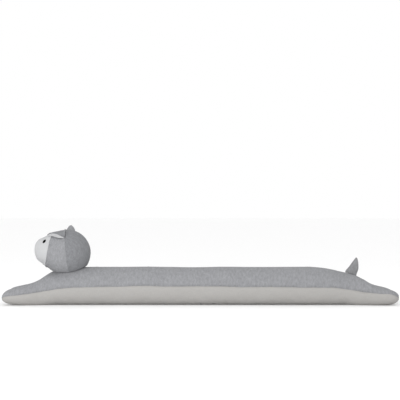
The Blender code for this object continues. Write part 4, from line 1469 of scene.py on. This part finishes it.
def makeStage():
    scene = bpy.context.scene
    scene.view_settings.view_transform = "Standard"
    scene.view_settings.look = "None"
    world = bpy.data.worlds.new("studio")
    scene.world = world
    world.use_nodes = True
    background = world.node_tree.nodes["Background"]
    background.inputs["Color"].default_value = (1.0, 1.0, 1.0, 1.0)
    background.inputs["Strength"].default_value = lighting["world"]
    floorMesh = bpy.data.meshes.new("floor")
    reach = 12.0
    corners = [(-reach, -reach, 0.0), (reach, -reach, 0.0), (reach, reach, 0.0), (-reach, reach, 0.0)]
    floorMesh.from_pydata(corners, [], [(0, 1, 2, 3)])
    floor = bpy.data.objects.new("floor", floorMesh)
    scene.collection.objects.link(floor)
    floorMesh.materials.append(plainMaterial("floorPaint", lighting["floorColour"], 0.9))
    light = bpy.data.lights.new("softLight", "AREA")
    light.size = lighting["size"]
    light.energy = lighting["power"]
    placed = bpy.data.objects.new("softLight", light)
    placed.location = lighting["place"]
    aim = Vector((0.0, 0.0, 0.05)) - placed.location
    placed.rotation_euler = aim.to_track_quat("-Z", "Y").to_euler()
    scene.collection.objects.link(placed)
    camera = bpy.data.cameras.new("photoCamera")
    camera.sensor_width = photoView["sensor"]
    camera.lens = photoView["sensor"] * photoView["distance"] / (photoView["side"] * photoView["mmPerPixel"])
    placed = bpy.data.objects.new("photoCamera", camera)
    placed.location = (photoView["centreX"] * mm, -photoView["distance"] * mm, photoView["eyeHeight"] * mm)
    placed.rotation_euler = (math.pi / 2.0, 0.0, 0.0)
    scene.collection.objects.link(placed)
    scene.camera = placed
    print("stage: floor, light and camera set")


makeStage()
marl = marlGroup()
cotton = slubGroup()
knit = reliefGroup("knitRelief", knitHeight)
weave = reliefGroup("weaveRelief", weaveHeight)


def jersey(name, depth):
    look = clothLook[name]
    return clothMaterial(name, marl, "Flecks", look["flecks"], knit, depth, look["colour"], 0.92, look["sheen"])


greyJersey = jersey("greyMarlJersey", 0.22)
# the darker grey: real cloth tone on the head's back panel, painted shade on the near ear's outer leaf
greyNapAndShade = jersey("greyMarlNapAndShade", 0.22)
tailJersey = jersey("greyMarlTail", 0.22)
paleJersey = jersey("paleJersey", 0.14)
beigeLook = clothLook["beigeCotton"]
beigeCotton = clothMaterial(
    "beigeCotton", cotton, "Slubs", beigeLook["slubs"], weave, 0.1, beigeLook["colour"], 0.88, 0.0
)
blackThread = threadMaterial("blackThread", (0.004, 0.004, 0.005), 0.85, 0.1)
greyThread = threadMaterial("greyThread", stitchForm["grey"], 0.8, 0.2)
beigeThread = threadMaterial("beigeThread", stitchForm["beige"], 0.8, 0.2)
darkThread = threadMaterial("darkThread", stitchForm["dark"], 0.8, 0.2)
# near-black thread whose stitches paint the shadow in the fold at the near ear's root
foldShadowThread = threadMaterial("foldShadowThread", stitchForm["shade"], 0.8, 0.2)

body, bodyNormals = makeBody()
back = closedPanel("backPanel", True, *body)
belly = closedPanel("bellyPanel", False, *body)
finishMesh(back, "back", greyJersey)
finishMesh(belly, "belly", beigeCotton)
print("body: back", len(back.data.polygons), "faces, belly", len(belly.data.polygons), "faces")

seatTree = treeOf(back)
head = makeHead(seatTree)
for name, node, key, edges, slotName, material in (
    ("facePanel", "face", "face", ((-1, -seamGap),), "pale_jersey", paleJersey),
    ("headFrontPanel", "head_front", "front", ((0, seamGap), (-1, -seamGap)), "grey_marl_jersey", greyJersey),
    ("headBackPanel", "head_back", "back", ((0, seamGap),), "grey_marl_jersey", greyNapAndShade),
):
    panel = headPanel(name, *head, key, edges)
    finishMesh(outwards(panel), node, material)
print("head: three panels")

earTrees = []
liningTop = earForm["liningThickness"]
outerLow = liningTop + earForm["leafGap"]
outerTop = outerLow + earForm["outerThickness"]
for name, node, place, start, under, over, rim, slotName, material in (
    ("earLeftLining", "ear_left_lining", leftEarPoint, 0.0, 0.0, liningTop, 0.0, "pale_jersey", paleJersey),
    # the near ear's outer leaf gets the darker grey as painted shade; the far ear's outer leaf, of the same cloth,
    # gets the plain grey
    ("earLeftOuter", "ear_left", leftEarPoint, 0.0, outerLow, outerTop, 1.0, "grey_marl_jersey", greyNapAndShade),
    ("earRightLining", "ear_right_lining", rightEarPoint, earForm["start"], 0.0, liningTop, 0.0, "pale_jersey", paleJersey),
    ("earRightOuter", "ear_right", rightEarPoint, earForm["start"], outerLow, outerTop, 0.0, "grey_marl_jersey", greyJersey),
):
    ear = finishMesh(leafMesh(name, place, start, under, over, rim, len(name)), node, material)
    earTrees.append(treeOf(ear))
print("ears: two leaves each")

tail = finishMesh(makeTail(seatTree), "tail", tailJersey)
for name, node, side in (("eyeLeftStitch", "eye_left", -1), ("eyeRightStitch", "eye_right", 1)):
    finishMesh(makeEye(name, side), node, blackThread)
print("tail and eyes made")

stitches = stitchGroup()
sewn("sideSeamStitches", "sideSeam", [sideSeamLine(*body)], stitches, greyThread)
sewn("headSeamStitches", "headSeam", headSeamLines(earTrees, *head), stitches, greyThread)
# painted shade: dark stitches for the shadow in the fold at the near ear's root
sewn("earRootShadowStitches", "earRoot", [earRootLine(earTrees, *head)], stitches, foldShadowThread)
sewn("neckStitches", "neck", [neckLine(seatTree, *head)], stitches, greyThread)
closing = [closingLine(stitchForm["closingEnds"], *body)]
tacks = [closingLine(ends, *body) for ends in stitchForm["tackEnds"]]
sewn("closingStitches", "closing", closing, stitches, beigeThread)
sewn("closingTacks", "tack", tacks, stitches, darkThread)
